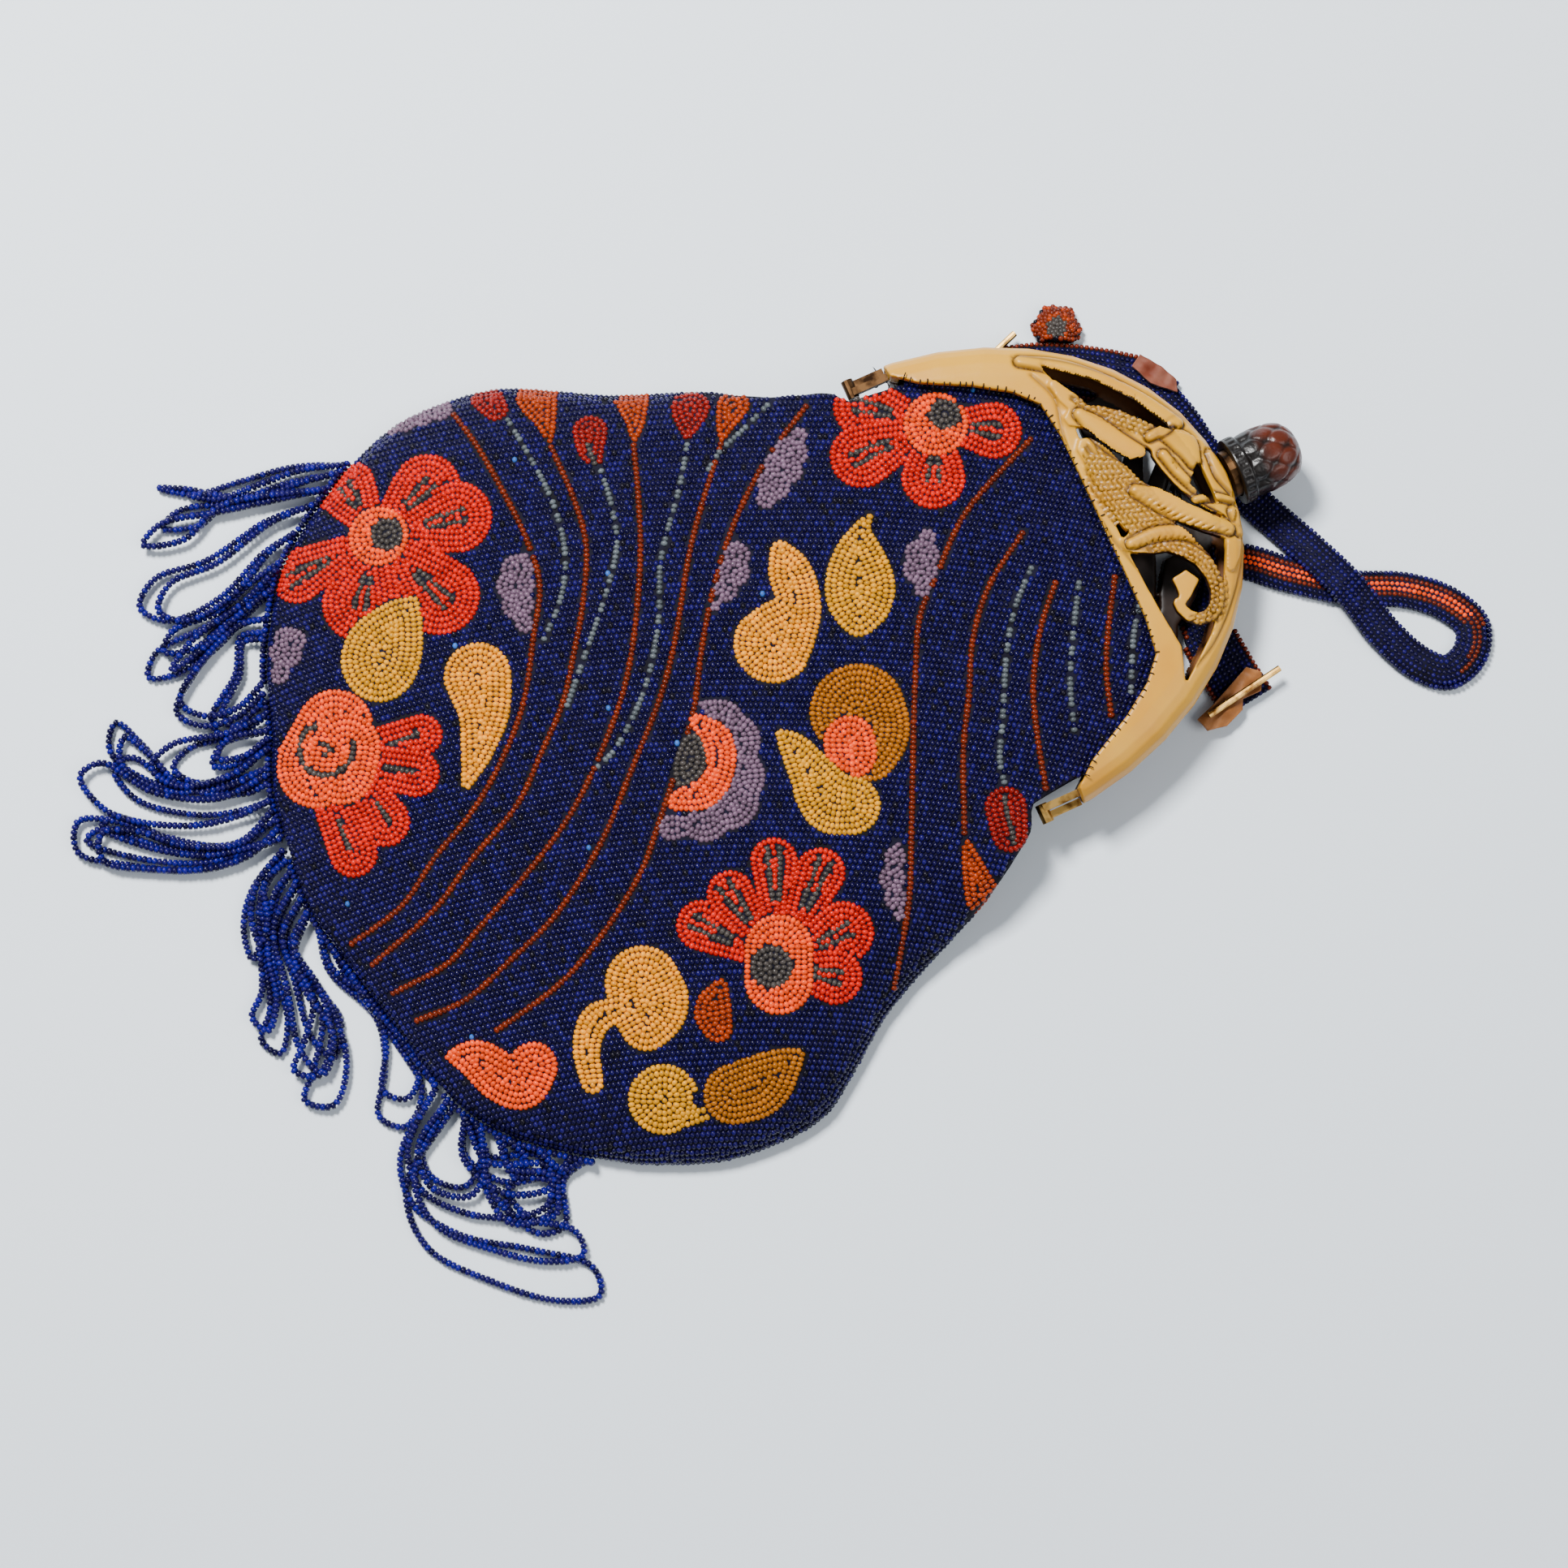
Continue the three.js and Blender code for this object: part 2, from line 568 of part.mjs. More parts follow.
// Outline of a tapering stroke along a smooth spine with rounded ends
function strokeOutline(points) {
  const spine = new THREE.CatmullRomCurve3(points.map((point) => {
    const place = onFrame(point);
    return new THREE.Vector3(place.x, place.y, point.w * frameHeight);
  }));
  const steps = Math.round((points.length - 1) * strokeStepsPerSpan);
  const left = [];
  const right = [];
  for (let i = 0; i <= steps; i += 1) {
    const at = spine.getPoint(i / steps);
    const tangent = spine.getTangent(i / steps);
    const side = new THREE.Vector2(-tangent.y, tangent.x).normalize().multiplyScalar(at.z / 2);
    const centre = new THREE.Vector2(at.x, at.y);
    left.push(centre.clone().add(side));
    right.push(centre.clone().sub(side));
  }
  const tip = (at, sign) => {
    const point = spine.getPoint(at);
    const tangent = spine.getTangent(at);
    const ahead = new THREE.Vector2(tangent.x, tangent.y).normalize();
    return new THREE.Vector2(point.x, point.y).addScaledVector(ahead, sign * point.z * strokeTipLength);
  };
  return [tip(0, -1), ...right, tip(1, 1), ...left.reverse()];
}

// Frame half: a dished plate cut to the arms and bar, with the pierced carving standing on it
function frameHalf() {
  const deep = frameHalfDepth * 2;
  const outline = prism(armAndBarOutline(), 0, deep);
  const window = prism(openworkOutline(), 0, deep);
  const plate = dishShell(0, false).intersect(outline.subtract(window));
  const wide = frameHalfWidth * cutReach;
  const tipEnd = armEnd + armTipLength;
  const tipOutline = [
    new THREE.Vector2(-wide, armEnd), new THREE.Vector2(wide, armEnd),
    new THREE.Vector2(wide, tipEnd), new THREE.Vector2(-wide, tipEnd),
  ];
  const tips = dishShell(0, true).intersect(outline).intersect(prism(tipOutline, 0, deep));
  const strokes = joinAll(carving.map((stroke) => prism(strokeOutline(stroke.points), 0, deep)));
  const relief = dishShell(reliefHeight, false).intersect(strokes);
  return plate.add(tips).add(relief);
}

// The strap's middle line
function strapCurve() {
  return new THREE.CatmullRomCurve3(strapRoute.map((point) => {
    const place = onFrame(point);
    return new THREE.Vector3(place.x, place.y, point.lift * strapThickness);
  }));
}

// How far the strap has widened to its tab at a share of the route
function tabShare(at) {
  const along = at * (strapRoute.length - 1);
  const low = Math.min(Math.floor(along), strapRoute.length - 2);
  return THREE.MathUtils.lerp(strapRoute[low].tab, strapRoute[low + 1].tab, along - low);
}

// A swept flat band with bevelled edges; the extras make a larger one to cut with
function strapBand(extraWidth, extraHeight) {
  const curve = strapCurve();
  const steps = Math.round(curve.getLength() / strapStep);
  const rings = [];
  for (let i = 0; i <= steps; i += 1) {
    const at = curve.getUtoTmapping(i / steps);
    const centre = curve.getPoint(at);
    const tangent = curve.getTangent(at).setZ(0).normalize();
    const side = new THREE.Vector3(tangent.y, -tangent.x, 0);
    const half = THREE.MathUtils.lerp(strapWidth, tabWidth, tabShare(at)) / 2 + extraWidth;
    const high = strapThickness + extraHeight;
    const corners = [
      [-half, strapThickness / 2], [-half + strapEdge, high], [half - strapEdge, high],
      [half, strapThickness / 2], [half - strapEdge, -extraHeight], [-half + strapEdge, -extraHeight],
    ];
    rings.push(corners.map(([across, up]) =>
      centre.clone().addScaledVector(side, across).add(new THREE.Vector3(0, 0, up))));
  }
  return loft(rings);
}

// A rod lying level between two points
function rod(ends, diameter, height) {
  const [from, to] = ends.map(onFrame);
  const length = from.distanceTo(to);
  const geometry = new THREE.CylinderGeometry(diameter / 2, diameter / 2, length, rodSides);
  const mesh = new THREE.Object3D();
  mesh.position.set((from.x + to.x) / 2, (from.y + to.y) / 2, height);
  mesh.rotation.z = Math.atan2(to.y - from.y, to.x - from.x) - Math.PI / 2;
  mesh.updateMatrix();
  return toSolid(geometry.applyMatrix4(mesh.matrix));
}

// A domed disc of petals beside the left tab, cut clear of the tab
function rosette() {
  const centre = onFrame(rosetteCentre);
  const count = rosettePetals * stepsPerPetal;
  const rings = rosetteRows.map((row) => {
    const ring = [];
    for (let i = 0; i < count; i += 1) {
      const angle = (i / count) * Math.PI * 2;
      const wave = 1 - petalDepth * (0.5 - 0.5 * Math.cos(angle * rosettePetals));
      const radius = (rosetteDiameter / 2) * row.out * wave;
      ring.push(new THREE.Vector3(
        centre.x + radius * Math.cos(angle),
        centre.y + radius * Math.sin(angle),
        row.up * rosetteHeight,
      ));
    }
    return ring;
  });
  const tab = strapBand(clearance, rosetteHeight);
  return loft(rings).subtract(tab);
}

// A turned shape round an axis along Y at the frame's middle height
function turned(profile, sides) {
  const geometry = new THREE.LatheGeometry(profile.map(([r, y]) => new THREE.Vector2(r, y)), sides);
  return geometry.translate(0, 0, midHeight);
}

// The ring between rim and knob, bored for the knob's stem
function claspCollar() {
  const low = frameHeight + clearance;
  const bore = stemDiameter / 2 + clearance;
  const outer = collarDiameter / 2;
  return toSolid(turned([
    [bore, low], [outer, low], [outer, low + collarLength], [bore, low + collarLength], [bore, low],
  ], turnedSides));
}

// The fluted knob with its stem, hollowed so that it can travel over the collar
function claspKnob() {
  const low = frameHeight + clearance + knobTravel;
  const radius = knobDiameter / 2;
  const sides = fluteCount * sidesPerFlute;
  const outline = knobRows.map((row) => [row.out * radius, low + row.along * knobLength]);
  const geometry = turned(outline, sides);
  const places = geometry.attributes.position;
  for (let i = 0; i < places.count; i += 1) {
    const x = places.getX(i);
    const z = places.getZ(i) - midHeight;
    const along = (places.getY(i) - low) / knobLength;
    const angle = Math.atan2(z, x);
    const flutedShare = Math.max(along - fluteFrom, 0) / (1 - fluteFrom);
    const fluted = Math.sin(flutedShare * Math.PI);
    const scale = 1 - fluteDepth * fluted * (0.5 - 0.5 * Math.cos(angle * fluteCount));
    places.setX(i, x * scale);
    places.setZ(i, midHeight + z * scale);
  }
  const socketRadius = collarDiameter / 2 + clearance;
  const socketTop = frameHeight + clearance + collarLength + knobTravel + clearance;
  const stemRadius = stemDiameter / 2;
  const below = low - clearance;
  const socket = toSolid(turned([
    [stemRadius, below], [socketRadius, below], [socketRadius, socketTop],
    [stemRadius, socketTop], [stemRadius, below],
  ], turnedSides));
  return toSolid(geometry).subtract(socket);
}

// Hinge at one end of the frame: a pin across the end with a prong up to each half's arm
function hinge(side) {
  const outer = frameHalfWidth;
  const inner = frameHalfWidth * hingeInner;
  const pinRadius = hingePinDiameter / 2;
  const pin = new THREE.CylinderGeometry(pinRadius, pinRadius, outer - inner, pinSides);
  pin.rotateZ(Math.PI / 2);
  pin.translate((side * (outer + inner)) / 2, 0, midHeight);
  const prongTop = armEnd - clearance;
  const prong = (x, up) => {
    const bar = new THREE.BoxGeometry(prongWidth, prongTop, prongHeight);
    bar.translate(side * x, prongTop / 2, midHeight + up * (prongHeight / 2 + partingGap / 2));
    return toSolid(bar);
  };
  const inset = prongWidth / 2 + clearance;
  return toSolid(pin).add(prong(inner + inset, 1)).add(prong(outer - inset - clearance, -1));
}

// Hem line from the left side round the bottom to the right side
function hemLine() {
  const stations = bagStations(outsideStepsPerRow);
  const left = stations.map((station) => new THREE.Vector2(station.left, station.y));
  const right = stations.map((station) => new THREE.Vector2(station.right, station.y));
  return [...left, ...right.reverse()];
}

// The stretch of the hem between two shares of the half width, on the lower part of the bag
function hemStretch(span) {
  const line = hemLine().filter((point) => point.y < -bagDrop * hemTop);
  const [start, end] = [span.from * bagHalfWidth, span.to * bagHalfWidth];
  const inside = line.filter((point) => point.x > start && point.x < end);
  const cut = (x) => {
    const found = line.findIndex((point, i) => i > 0 && line[i - 1].x <= x && point.x > x);
    const at = found > 0 ? found : line.length - 1;
    const share = (x - line[at - 1].x) / (line[at].x - line[at - 1].x);
    return line[at - 1].clone().lerp(line[at], share);
  };
  return [cut(start), ...inside, cut(end)];
}

// A line moved outwards by a distance
function offsetLine(line, distance) {
  return line.map((point, i) => {
    const before = line[Math.max(i - 1, 0)];
    const after = line[Math.min(i + 1, line.length - 1)];
    const normals = [];
    if (i > 0) normals.push(point.clone().sub(before).normalize());
    if (i < line.length - 1) normals.push(after.clone().sub(point).normalize());
    const out = normals.map((along) => new THREE.Vector2(along.y, -along.x));
    const sum = out.reduce((total, normal) => total.add(normal), new THREE.Vector2()).normalize();
    const spread = Math.max(sum.dot(out[0]), hemSharpest);
    return point.clone().addScaledVector(sum, distance / spread);
  });
}

// The point of a line that lies nearest to a place
function nearest(line, place) {
  return line.reduce((best, point) =>
    (point.distanceTo(place) < best.distanceTo(place) ? point : best));
}

// One looped string: a level square tube that climbs to the hem strip at both ends
function stringTube(points, head) {
  const last = points.length - 1;
  const floor = stringDiameter / 2;
  const unit = bagHalfWidth / routeUnitsPerHalf;
  const curve = new THREE.CatmullRomCurve3(points.map(([x, rise], i) => {
    const place = new THREE.Vector2(x * unit, rise * unit - bagDrop);
    const isRoot = i === 0 || i === last;
    const at = isRoot ? nearest(head, place) : place;
    return new THREE.Vector3(at.x, at.y, isRoot ? seamHeight : floor);
  }));
  const rings = [];
  const steps = last * stringSteps;
  for (let i = 0; i <= steps; i += 1) {
    const centre = curve.getPoint(i / steps);
    centre.z = Math.max(centre.z, floor);
    const tangent = curve.getTangent(i / steps);
    const side = new THREE.Vector3(tangent.y, -tangent.x, 0).setLength(stringDiameter / 2);
    const up = new THREE.Vector3(0, 0, stringDiameter / 2);
    rings.push([
      centre.clone().sub(side).add(up), centre.clone().add(side).add(up),
      centre.clone().add(side).sub(up), centre.clone().sub(side).sub(up),
    ]);
  }
  return loft(rings);
}

// One group of the fringe: its hem strip and its strings, fused
function fringe(name) {
  const stretch = hemStretch(hemSpans[name]);
  const inner = offsetLine(stretch, clearance);
  const outer = offsetLine(stretch, clearance + hemStripWidth);
  const low = seamHeight - hemStripHeight / 2;
  const strip = prism([...inner, ...outer.reverse()], low, low + hemStripHeight);
  const middle = offsetLine(stretch, clearance + hemStripWidth / 2);
  const head = new THREE.CatmullRomCurve3(
    middle.map((point) => new THREE.Vector3(point.x, point.y, 0)),
  ).getSpacedPoints(middle.length * hemStepsPerPoint).map((point) => new THREE.Vector2(point.x, point.y));
  const loops = stringRoutes[name].map((route) => stringTube(route, head));
  return joinAll([strip, ...loops]);
}

// Assembly
const purse = new THREE.Group();

purse.add(piece('bag_body', bagBody(), finishes.beads));
for (const name of Object.keys(hemSpans)) {
  purse.add(piece(name, fringe(name), finishes.beads));
}

const half = frameHalf();
const frameFront = piece('frame_front', half, finishes.celluloid);
frameFront.position.z = midHeight;
const frameBack = piece('frame_back', half, finishes.celluloid.clone());
frameBack.position.z = midHeight;
frameBack.rotation.y = Math.PI;
purse.add(frameFront, frameBack);

purse.add(piece('hinge_left', hinge(-1), finishes.brass));
purse.add(piece('hinge_right', hinge(1), finishes.brass));
purse.add(piece('clasp_collar', claspCollar(), finishes.brass));
purse.add(piece('clasp_knob', claspKnob(), finishes.carvedHorn));

purse.add(piece('strap', strapBand(0, 0), finishes.beads));
const onStrap = strapThickness + clearance;
const lining = (points) => prism(points.map(onFrame), onStrap, onStrap + liningThickness);
purse.add(piece('tab_lining_left', lining(liningUpper), finishes.silk));
purse.add(piece('tab_lining_right', lining(liningLower), finishes.silk));
purse.add(piece('strap_rod_left', rod(rodUpper, rodDiameter, onStrap + rodDiameter / 2), finishes.brass));
const onLining = onStrap + liningThickness + clearance;
purse.add(piece('strap_rod_right', rod(rodLower, rodDiameter, onLining + rodDiameter / 2), finishes.brass));
purse.add(piece('rosette', rosette(), finishes.redBeads));

// The origin goes to the middle of the footprint, on the surface below
const box = new THREE.Box3().setFromObject(purse);
const centre = box.getCenter(new THREE.Vector3());
purse.position.set(-centre.x, -centre.y, -box.min.z);

export default purse;
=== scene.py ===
"""Looks of a beaded evening purse with a carved celluloid frame, lying on a pale table.

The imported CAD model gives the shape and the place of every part. Each sub-assembly of the
purse is a class that dresses its parts: seed beads are real meshes laid in rows on the
cloth, the frame gets its moulded scales and veins, and the strap, fringe and rosette are
strung from beads. Lengths are in millimetres in the classes and in metres in the meshes.
"""

from __future__ import annotations

import logging
import math
from dataclasses import dataclass, field
from enum import Enum
from functools import lru_cache

import bpy
import numpy as np
from mathutils import Matrix, Vector
from mathutils.bvhtree import BVHTree
from mathutils.kdtree import KDTree

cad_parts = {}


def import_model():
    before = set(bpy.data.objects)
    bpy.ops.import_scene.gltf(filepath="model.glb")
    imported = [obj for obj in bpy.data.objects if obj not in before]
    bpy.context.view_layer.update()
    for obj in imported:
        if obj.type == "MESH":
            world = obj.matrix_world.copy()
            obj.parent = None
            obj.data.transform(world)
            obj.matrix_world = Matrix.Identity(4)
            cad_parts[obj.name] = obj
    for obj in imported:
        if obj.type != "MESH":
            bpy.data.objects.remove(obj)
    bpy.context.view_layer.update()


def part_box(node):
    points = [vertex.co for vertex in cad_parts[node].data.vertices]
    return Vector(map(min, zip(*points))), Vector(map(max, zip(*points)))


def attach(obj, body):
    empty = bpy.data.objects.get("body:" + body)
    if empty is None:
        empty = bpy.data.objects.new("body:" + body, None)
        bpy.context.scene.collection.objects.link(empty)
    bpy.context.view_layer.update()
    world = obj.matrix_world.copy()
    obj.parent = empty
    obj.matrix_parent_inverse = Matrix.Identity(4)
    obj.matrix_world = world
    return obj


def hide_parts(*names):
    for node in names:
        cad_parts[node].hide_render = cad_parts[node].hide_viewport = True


LOG = logging.getLogger("purse")
MM = 0.001
WELD = 0.02
FRAME_HALF_WIDTH = 60.0
FRAME_HEIGHT = 75.5
BODY = "body"
CLASP = "clasp"
BEAD_TONE = "bead_tone"
# Colour attribute of painted light: brown wash with painted shade on the frame, painted highlight and painted
# shade on the knob
PAINTED_LIGHT_AND_WASH = "painted_light_and_wash"


class Tone(Enum):
    """Colours of the glass beads, as sRGB hex."""

    NAVY = "#0A0430"
    INDIGO = "#120848"
    COBALT = "#140864"
    # Pale blue beads scattered among the navy ground as painted glints: painted highlights on the ground
    # beads
    SKY = "#2F5AA6"
    RED = "#B40C00"
    DARK_RED = "#74100C"
    ORANGE = "#DC4000"
    AMBER = "#D48600"
    OLIVE = "#BE8204"
    BROWN = "#905206"
    WEDGE = "#8A2C06"
    RUST = "#5E1C08"
    MAUVE = "#604A5C"
    GREY = "#3A3532"
    SLATE = "#4A5054"
    SMOKE = "#0E0B18"


def linear(colour: str) -> tuple[float, float, float]:
    """Turns an sRGB hex colour into linear light.

    Args:
        colour: The colour, such as "#C8351C".

    Returns:
        Red, green and blue from 0 to 1.
    """
    parts = [int(colour[i : i + 2], 16) / 255 for i in (1, 3, 5)]
    red, green, blue = [
        c / 12.92 if c <= 0.04045 else ((c + 0.055) / 1.055) ** 2.4 for c in parts
    ]
    return red, green, blue


# Places


@dataclass(frozen=True)
class Layout:
    """Where the purse's own axes lie in the row frame.

    The purse's own origin is the middle of the frame's hinge line, in millimetres, and the
    pattern chart counts in units of a fifth of a millimetre along the photo's edges.
    """

    shift: tuple[float, float]
    chart_unit: float = 0.2
    chart_origin: tuple[float, float] = (1166.0, 742.0)
    chart_across: tuple[float, float] = (0.41, 0.912)
    chart_down: tuple[float, float] = (0.912, -0.41)

    def to_frame(self, points: np.ndarray) -> np.ndarray:
        """Moves millimetre points (n, 3) into the row frame, in metres."""
        return (points + np.array([*self.shift, 0.0])) * MM

    def from_frame(self, points: np.ndarray) -> np.ndarray:
        """Moves row frame points (n, 3), in metres, to the purse's own millimetres."""
        return points / MM - np.array([*self.shift, 0.0])

    def to_chart(self, points: np.ndarray) -> np.ndarray:
        """Turns millimetre places (n, 2) into chart units."""
        turn = np.array([self.chart_across, self.chart_down])
        return points @ turn.T / self.chart_unit + np.array(self.chart_origin)

    def from_chart(self, points: np.ndarray) -> np.ndarray:
        """Turns chart units (n, 2) into millimetre places."""
        turn = np.array([self.chart_across, self.chart_down])
        return (points - np.array(self.chart_origin)) @ turn * self.chart_unit


def find_layout() -> Layout:
    """Reads the place of the purse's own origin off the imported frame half."""
    low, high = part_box("frame_front")
    return Layout(((low.x + high.x) / 2 / MM, high.y / MM - FRAME_HEIGHT))


def spline(points: np.ndarray, per_span: int) -> np.ndarray:
    """Draws a centripetal Catmull-Rom curve through points.

    Args:
        points: The points that it passes, (n, 2) or (n, 3).
        per_span: How many steps it takes between two of them.

    Returns:
        The points along the curve.
    """
    first = 2 * points[0] - points[1]
    last = 2 * points[-1] - points[-2]
    ends = np.vstack([first, points, last])
    drawn = []
    for i in range(1, len(ends) - 2):
        p0, p1, p2, p3 = ends[i - 1 : i + 3]
        gaps = [max(np.linalg.norm(b - a) ** 0.5, 1e-4) for a, b in ((p0, p1), (p1, p2), (p2, p3))]
        t1, t2, t3 = np.cumsum(gaps)
        for t in np.linspace(t1, t2, per_span, endpoint=False):
            a1 = (t1 - t) / t1 * p0 + t / t1 * p1
            a2 = (t2 - t) / (t2 - t1) * p1 + (t - t1) / (t2 - t1) * p2
            a3 = (t3 - t) / (t3 - t2) * p2 + (t - t2) / (t3 - t2) * p3
            b1 = (t2 - t) / t2 * a1 + t / t2 * a2
            b2 = (t3 - t) / (t3 - t1) * a2 + (t - t1) / (t3 - t1) * a3
            drawn.append((t2 - t) / (t2 - t1) * b1 + (t - t1) / (t2 - t1) * b2)
    drawn.append(points[-1])
    return np.array(drawn)


def even_steps(line: np.ndarray, spacing: float) -> tuple[np.ndarray, np.ndarray, np.ndarray]:
    """Walks along a line in even steps.

    Args:
        line: The line's points.
        spacing: The length of a step.

    Returns:
        The places, the unit directions there and the lengths walked.
    """
    spans = np.linalg.norm(np.diff(line, axis=0), axis=1)
    walked = np.concatenate([[0.0], np.cumsum(spans)])
    count = max(int(walked[-1] / spacing), 1)
    at = (np.arange(count) + 0.5) * walked[-1] / count
    places = np.stack([np.interp(at, walked, line[:, k]) for k in range(line.shape[1])], axis=1)
    span = np.clip(np.searchsorted(walked, at) - 1, 0, len(spans) - 1)
    along = np.diff(line, axis=0)[span]
    return places, along / np.linalg.norm(along, axis=1, keepdims=True), at


# Meshes


def new_mesh(
    name: str,
    vertices: np.ndarray,
    triangles: np.ndarray,
    tones: np.ndarray | None = None,
    attribute: str = BEAD_TONE,
) -> bpy.types.Object:
    """Makes one smooth-shaded object from arrays, at the origin.

    Args:
        name: The object's name.
        vertices: Places (n, 3) in metres.
        triangles: Corner numbers (m, 3).
        tones: Linear colours (n, 3) for the vertices, or None.
        attribute: The colour attribute's name.

    Returns:
        The object, linked to the scene.
    """
    mesh = bpy.data.meshes.new(name)
    mesh.vertices.add(len(vertices))
    mesh.vertices.foreach_set("co", vertices.astype(np.float32).ravel())
    mesh.loops.add(triangles.size)
    mesh.loops.foreach_set("vertex_index", triangles.astype(np.int32).ravel())
    mesh.polygons.add(len(triangles))
    mesh.polygons.foreach_set("loop_start", np.arange(0, triangles.size, 3, dtype=np.int32))
    mesh.polygons.foreach_set("use_smooth", np.ones(len(triangles), dtype=bool))
    mesh.update(calc_edges=True)
    if tones is not None:
        paint(mesh, tones, attribute)
    piece = bpy.data.objects.new(name, mesh)
    bpy.context.scene.collection.objects.link(piece)
    return piece


def paint(mesh: bpy.types.Mesh, tones: np.ndarray, attribute: str) -> None:
    """Stores linear colours (n, 3) on a mesh's vertices."""
    layer = mesh.color_attributes.new(attribute, "FLOAT_COLOR", "POINT")
    full = np.concatenate([tones, np.ones((len(tones), 1))], axis=1)
    layer.data.foreach_set("color", full.astype(np.float32).ravel())


def dressed_copy(node: bpy.types.Object, name: str) -> bpy.types.Object:
    """Copies a CAD node's mesh into a new object that may be changed."""
    mesh = node.data.copy()
    mesh.materials.clear()
    piece = bpy.data.objects.new(name, mesh)
    bpy.context.scene.collection.objects.link(piece)
    return piece


def apply_modifier(piece: bpy.types.Object, kind: str, **settings: object) -> None:
    """Adds one modifier with its settings and applies it."""
    modifier = piece.modifiers.new(kind.lower(), kind)
    for key, value in settings.items():
        setattr(modifier, key, value)
    bpy.ops.object.select_all(action="DESELECT")
    bpy.context.view_layer.objects.active = piece
    piece.select_set(True)
    bpy.ops.object.modifier_apply(modifier=modifier.name)


def vertices_of(piece: bpy.types.Object) -> np.ndarray:
    """Returns an object's vertex places (n, 3)."""
    places = np.zeros(len(piece.data.vertices) * 3, np.float32)
    piece.data.vertices.foreach_get("co", places)
    return places.reshape(-1, 3).astype(float)


def normals_of(piece: bpy.types.Object) -> np.ndarray:
    """Returns an object's vertex normals (n, 3)."""
    normals = np.zeros(len(piece.data.vertices) * 3, np.float32)
    piece.data.vertices.foreach_get("normal", normals)
    return normals.reshape(-1, 3).astype(float)


def set_vertices(piece: bpy.types.Object, places: np.ndarray) -> None:
    """Moves an object's vertices to new places (n, 3)."""
    piece.data.vertices.foreach_set("co", places.astype(np.float32).ravel())
    piece.data.update()


def smooth_shaded(piece: bpy.types.Object, angle: float = 40.0) -> None:
    """Shades an object smoothly over edges below an angle in degrees."""
    bpy.ops.object.select_all(action="DESELECT")
    bpy.context.view_layer.objects.active = piece
    piece.select_set(True)
    bpy.ops.object.shade_smooth_by_angle(angle=math.radians(angle))


def surface_of(piece: bpy.types.Object) -> BVHTree:
    """Returns a search tree of an object's faces."""
    return BVHTree.FromObject(piece, bpy.context.evaluated_depsgraph_get())


def finish_piece(
    piece: bpy.types.Object,
    material: bpy.types.Material,
    replaces: tuple[str, ...] = (),
    body: str = BODY,
) -> bpy.types.Object:
    """Gives a piece its material, its body and what it stands for."""
    piece.data.materials.clear()
    piece.data.materials.append(material)
    if replaces:
        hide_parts(*replaces)
    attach(piece, body)
    LOG.info("%s: %d faces", piece.name, len(piece.data.polygons))
    return piece


# Finishes


class Nodes:
    """A material's node tree with short ways to add and join nodes."""

    def __init__(self, name: str) -> None:
        """Makes the material.

        Args:
            name: The material's name.
        """
        self.material = bpy.data.materials.new(name)
        self.material.use_nodes = True
        self.tree = self.material.node_tree
        self.surface = self.tree.nodes["Principled BSDF"]

    def add(self, kind: str, inputs: dict[str, object] | None = None, **settings: object) -> bpy.types.Node:
        """Adds a node.

        Args:
            kind: The node's type.
            inputs: Input names, each with a value or the output that feeds it.
            settings: The node's own properties.

        Returns:
            The node.
        """
        node = self.tree.nodes.new(kind)
        for key, value in settings.items():
            setattr(node, key, value)
        for key, value in (inputs or {}).items():
            self.feed(node, key, value)
        return node

    def feed(self, node: bpy.types.Node, name: str | int, value: object) -> None:
        """Sets a node's input to a value, or joins an output to it."""
        if isinstance(value, bpy.types.NodeSocket):
            self.tree.links.new(value, node.inputs[name])
        else:
            node.inputs[name].default_value = value

    def set(self, **inputs: object) -> None:
        """Sets inputs of the surface, with spaces in their names as underscores."""
        for key, value in inputs.items():
            self.feed(self.surface, key.replace("_", " "), value)

    def coordinates(self) -> bpy.types.NodeSocket:
        """Returns the output with object coordinates, in metres."""
        return self.add("ShaderNodeTexCoord").outputs["Object"]

    def noise(self, size: float, detail: float = 3.0) -> bpy.types.NodeSocket:
        """Returns a noise with patches of a size in millimetres."""
        inputs = {"Vector": self.coordinates(), "Scale": 1 / (size * MM), "Detail": detail}
        return self.add("ShaderNodeTexNoise", inputs).outputs["Fac"]

    def ramp(
        self,
        factor: bpy.types.NodeSocket,
        stops: tuple[tuple[float, str], ...],
    ) -> bpy.types.NodeSocket:
        """Returns a colour from a factor through stops of (place, hex colour)."""
        node = self.add("ShaderNodeValToRGB", {"Fac": factor})
        elements = node.color_ramp.elements
        while len(elements) < len(stops):
            elements.new(1.0)
        for element, (place, colour) in zip(elements, stops):
            element.position = place
            element.color = (*linear(colour), 1.0)
        return node.outputs["Color"]

    def bump(self, height: bpy.types.NodeSocket, depth: float, strength: float = 1.0) -> None:
        """Raises the surface by a height factor times a depth in millimetres."""
        inputs = {"Height": height, "Distance": depth * MM, "Strength": strength}
        self.set(Normal=self.add("ShaderNodeBump", inputs).outputs["Normal"])


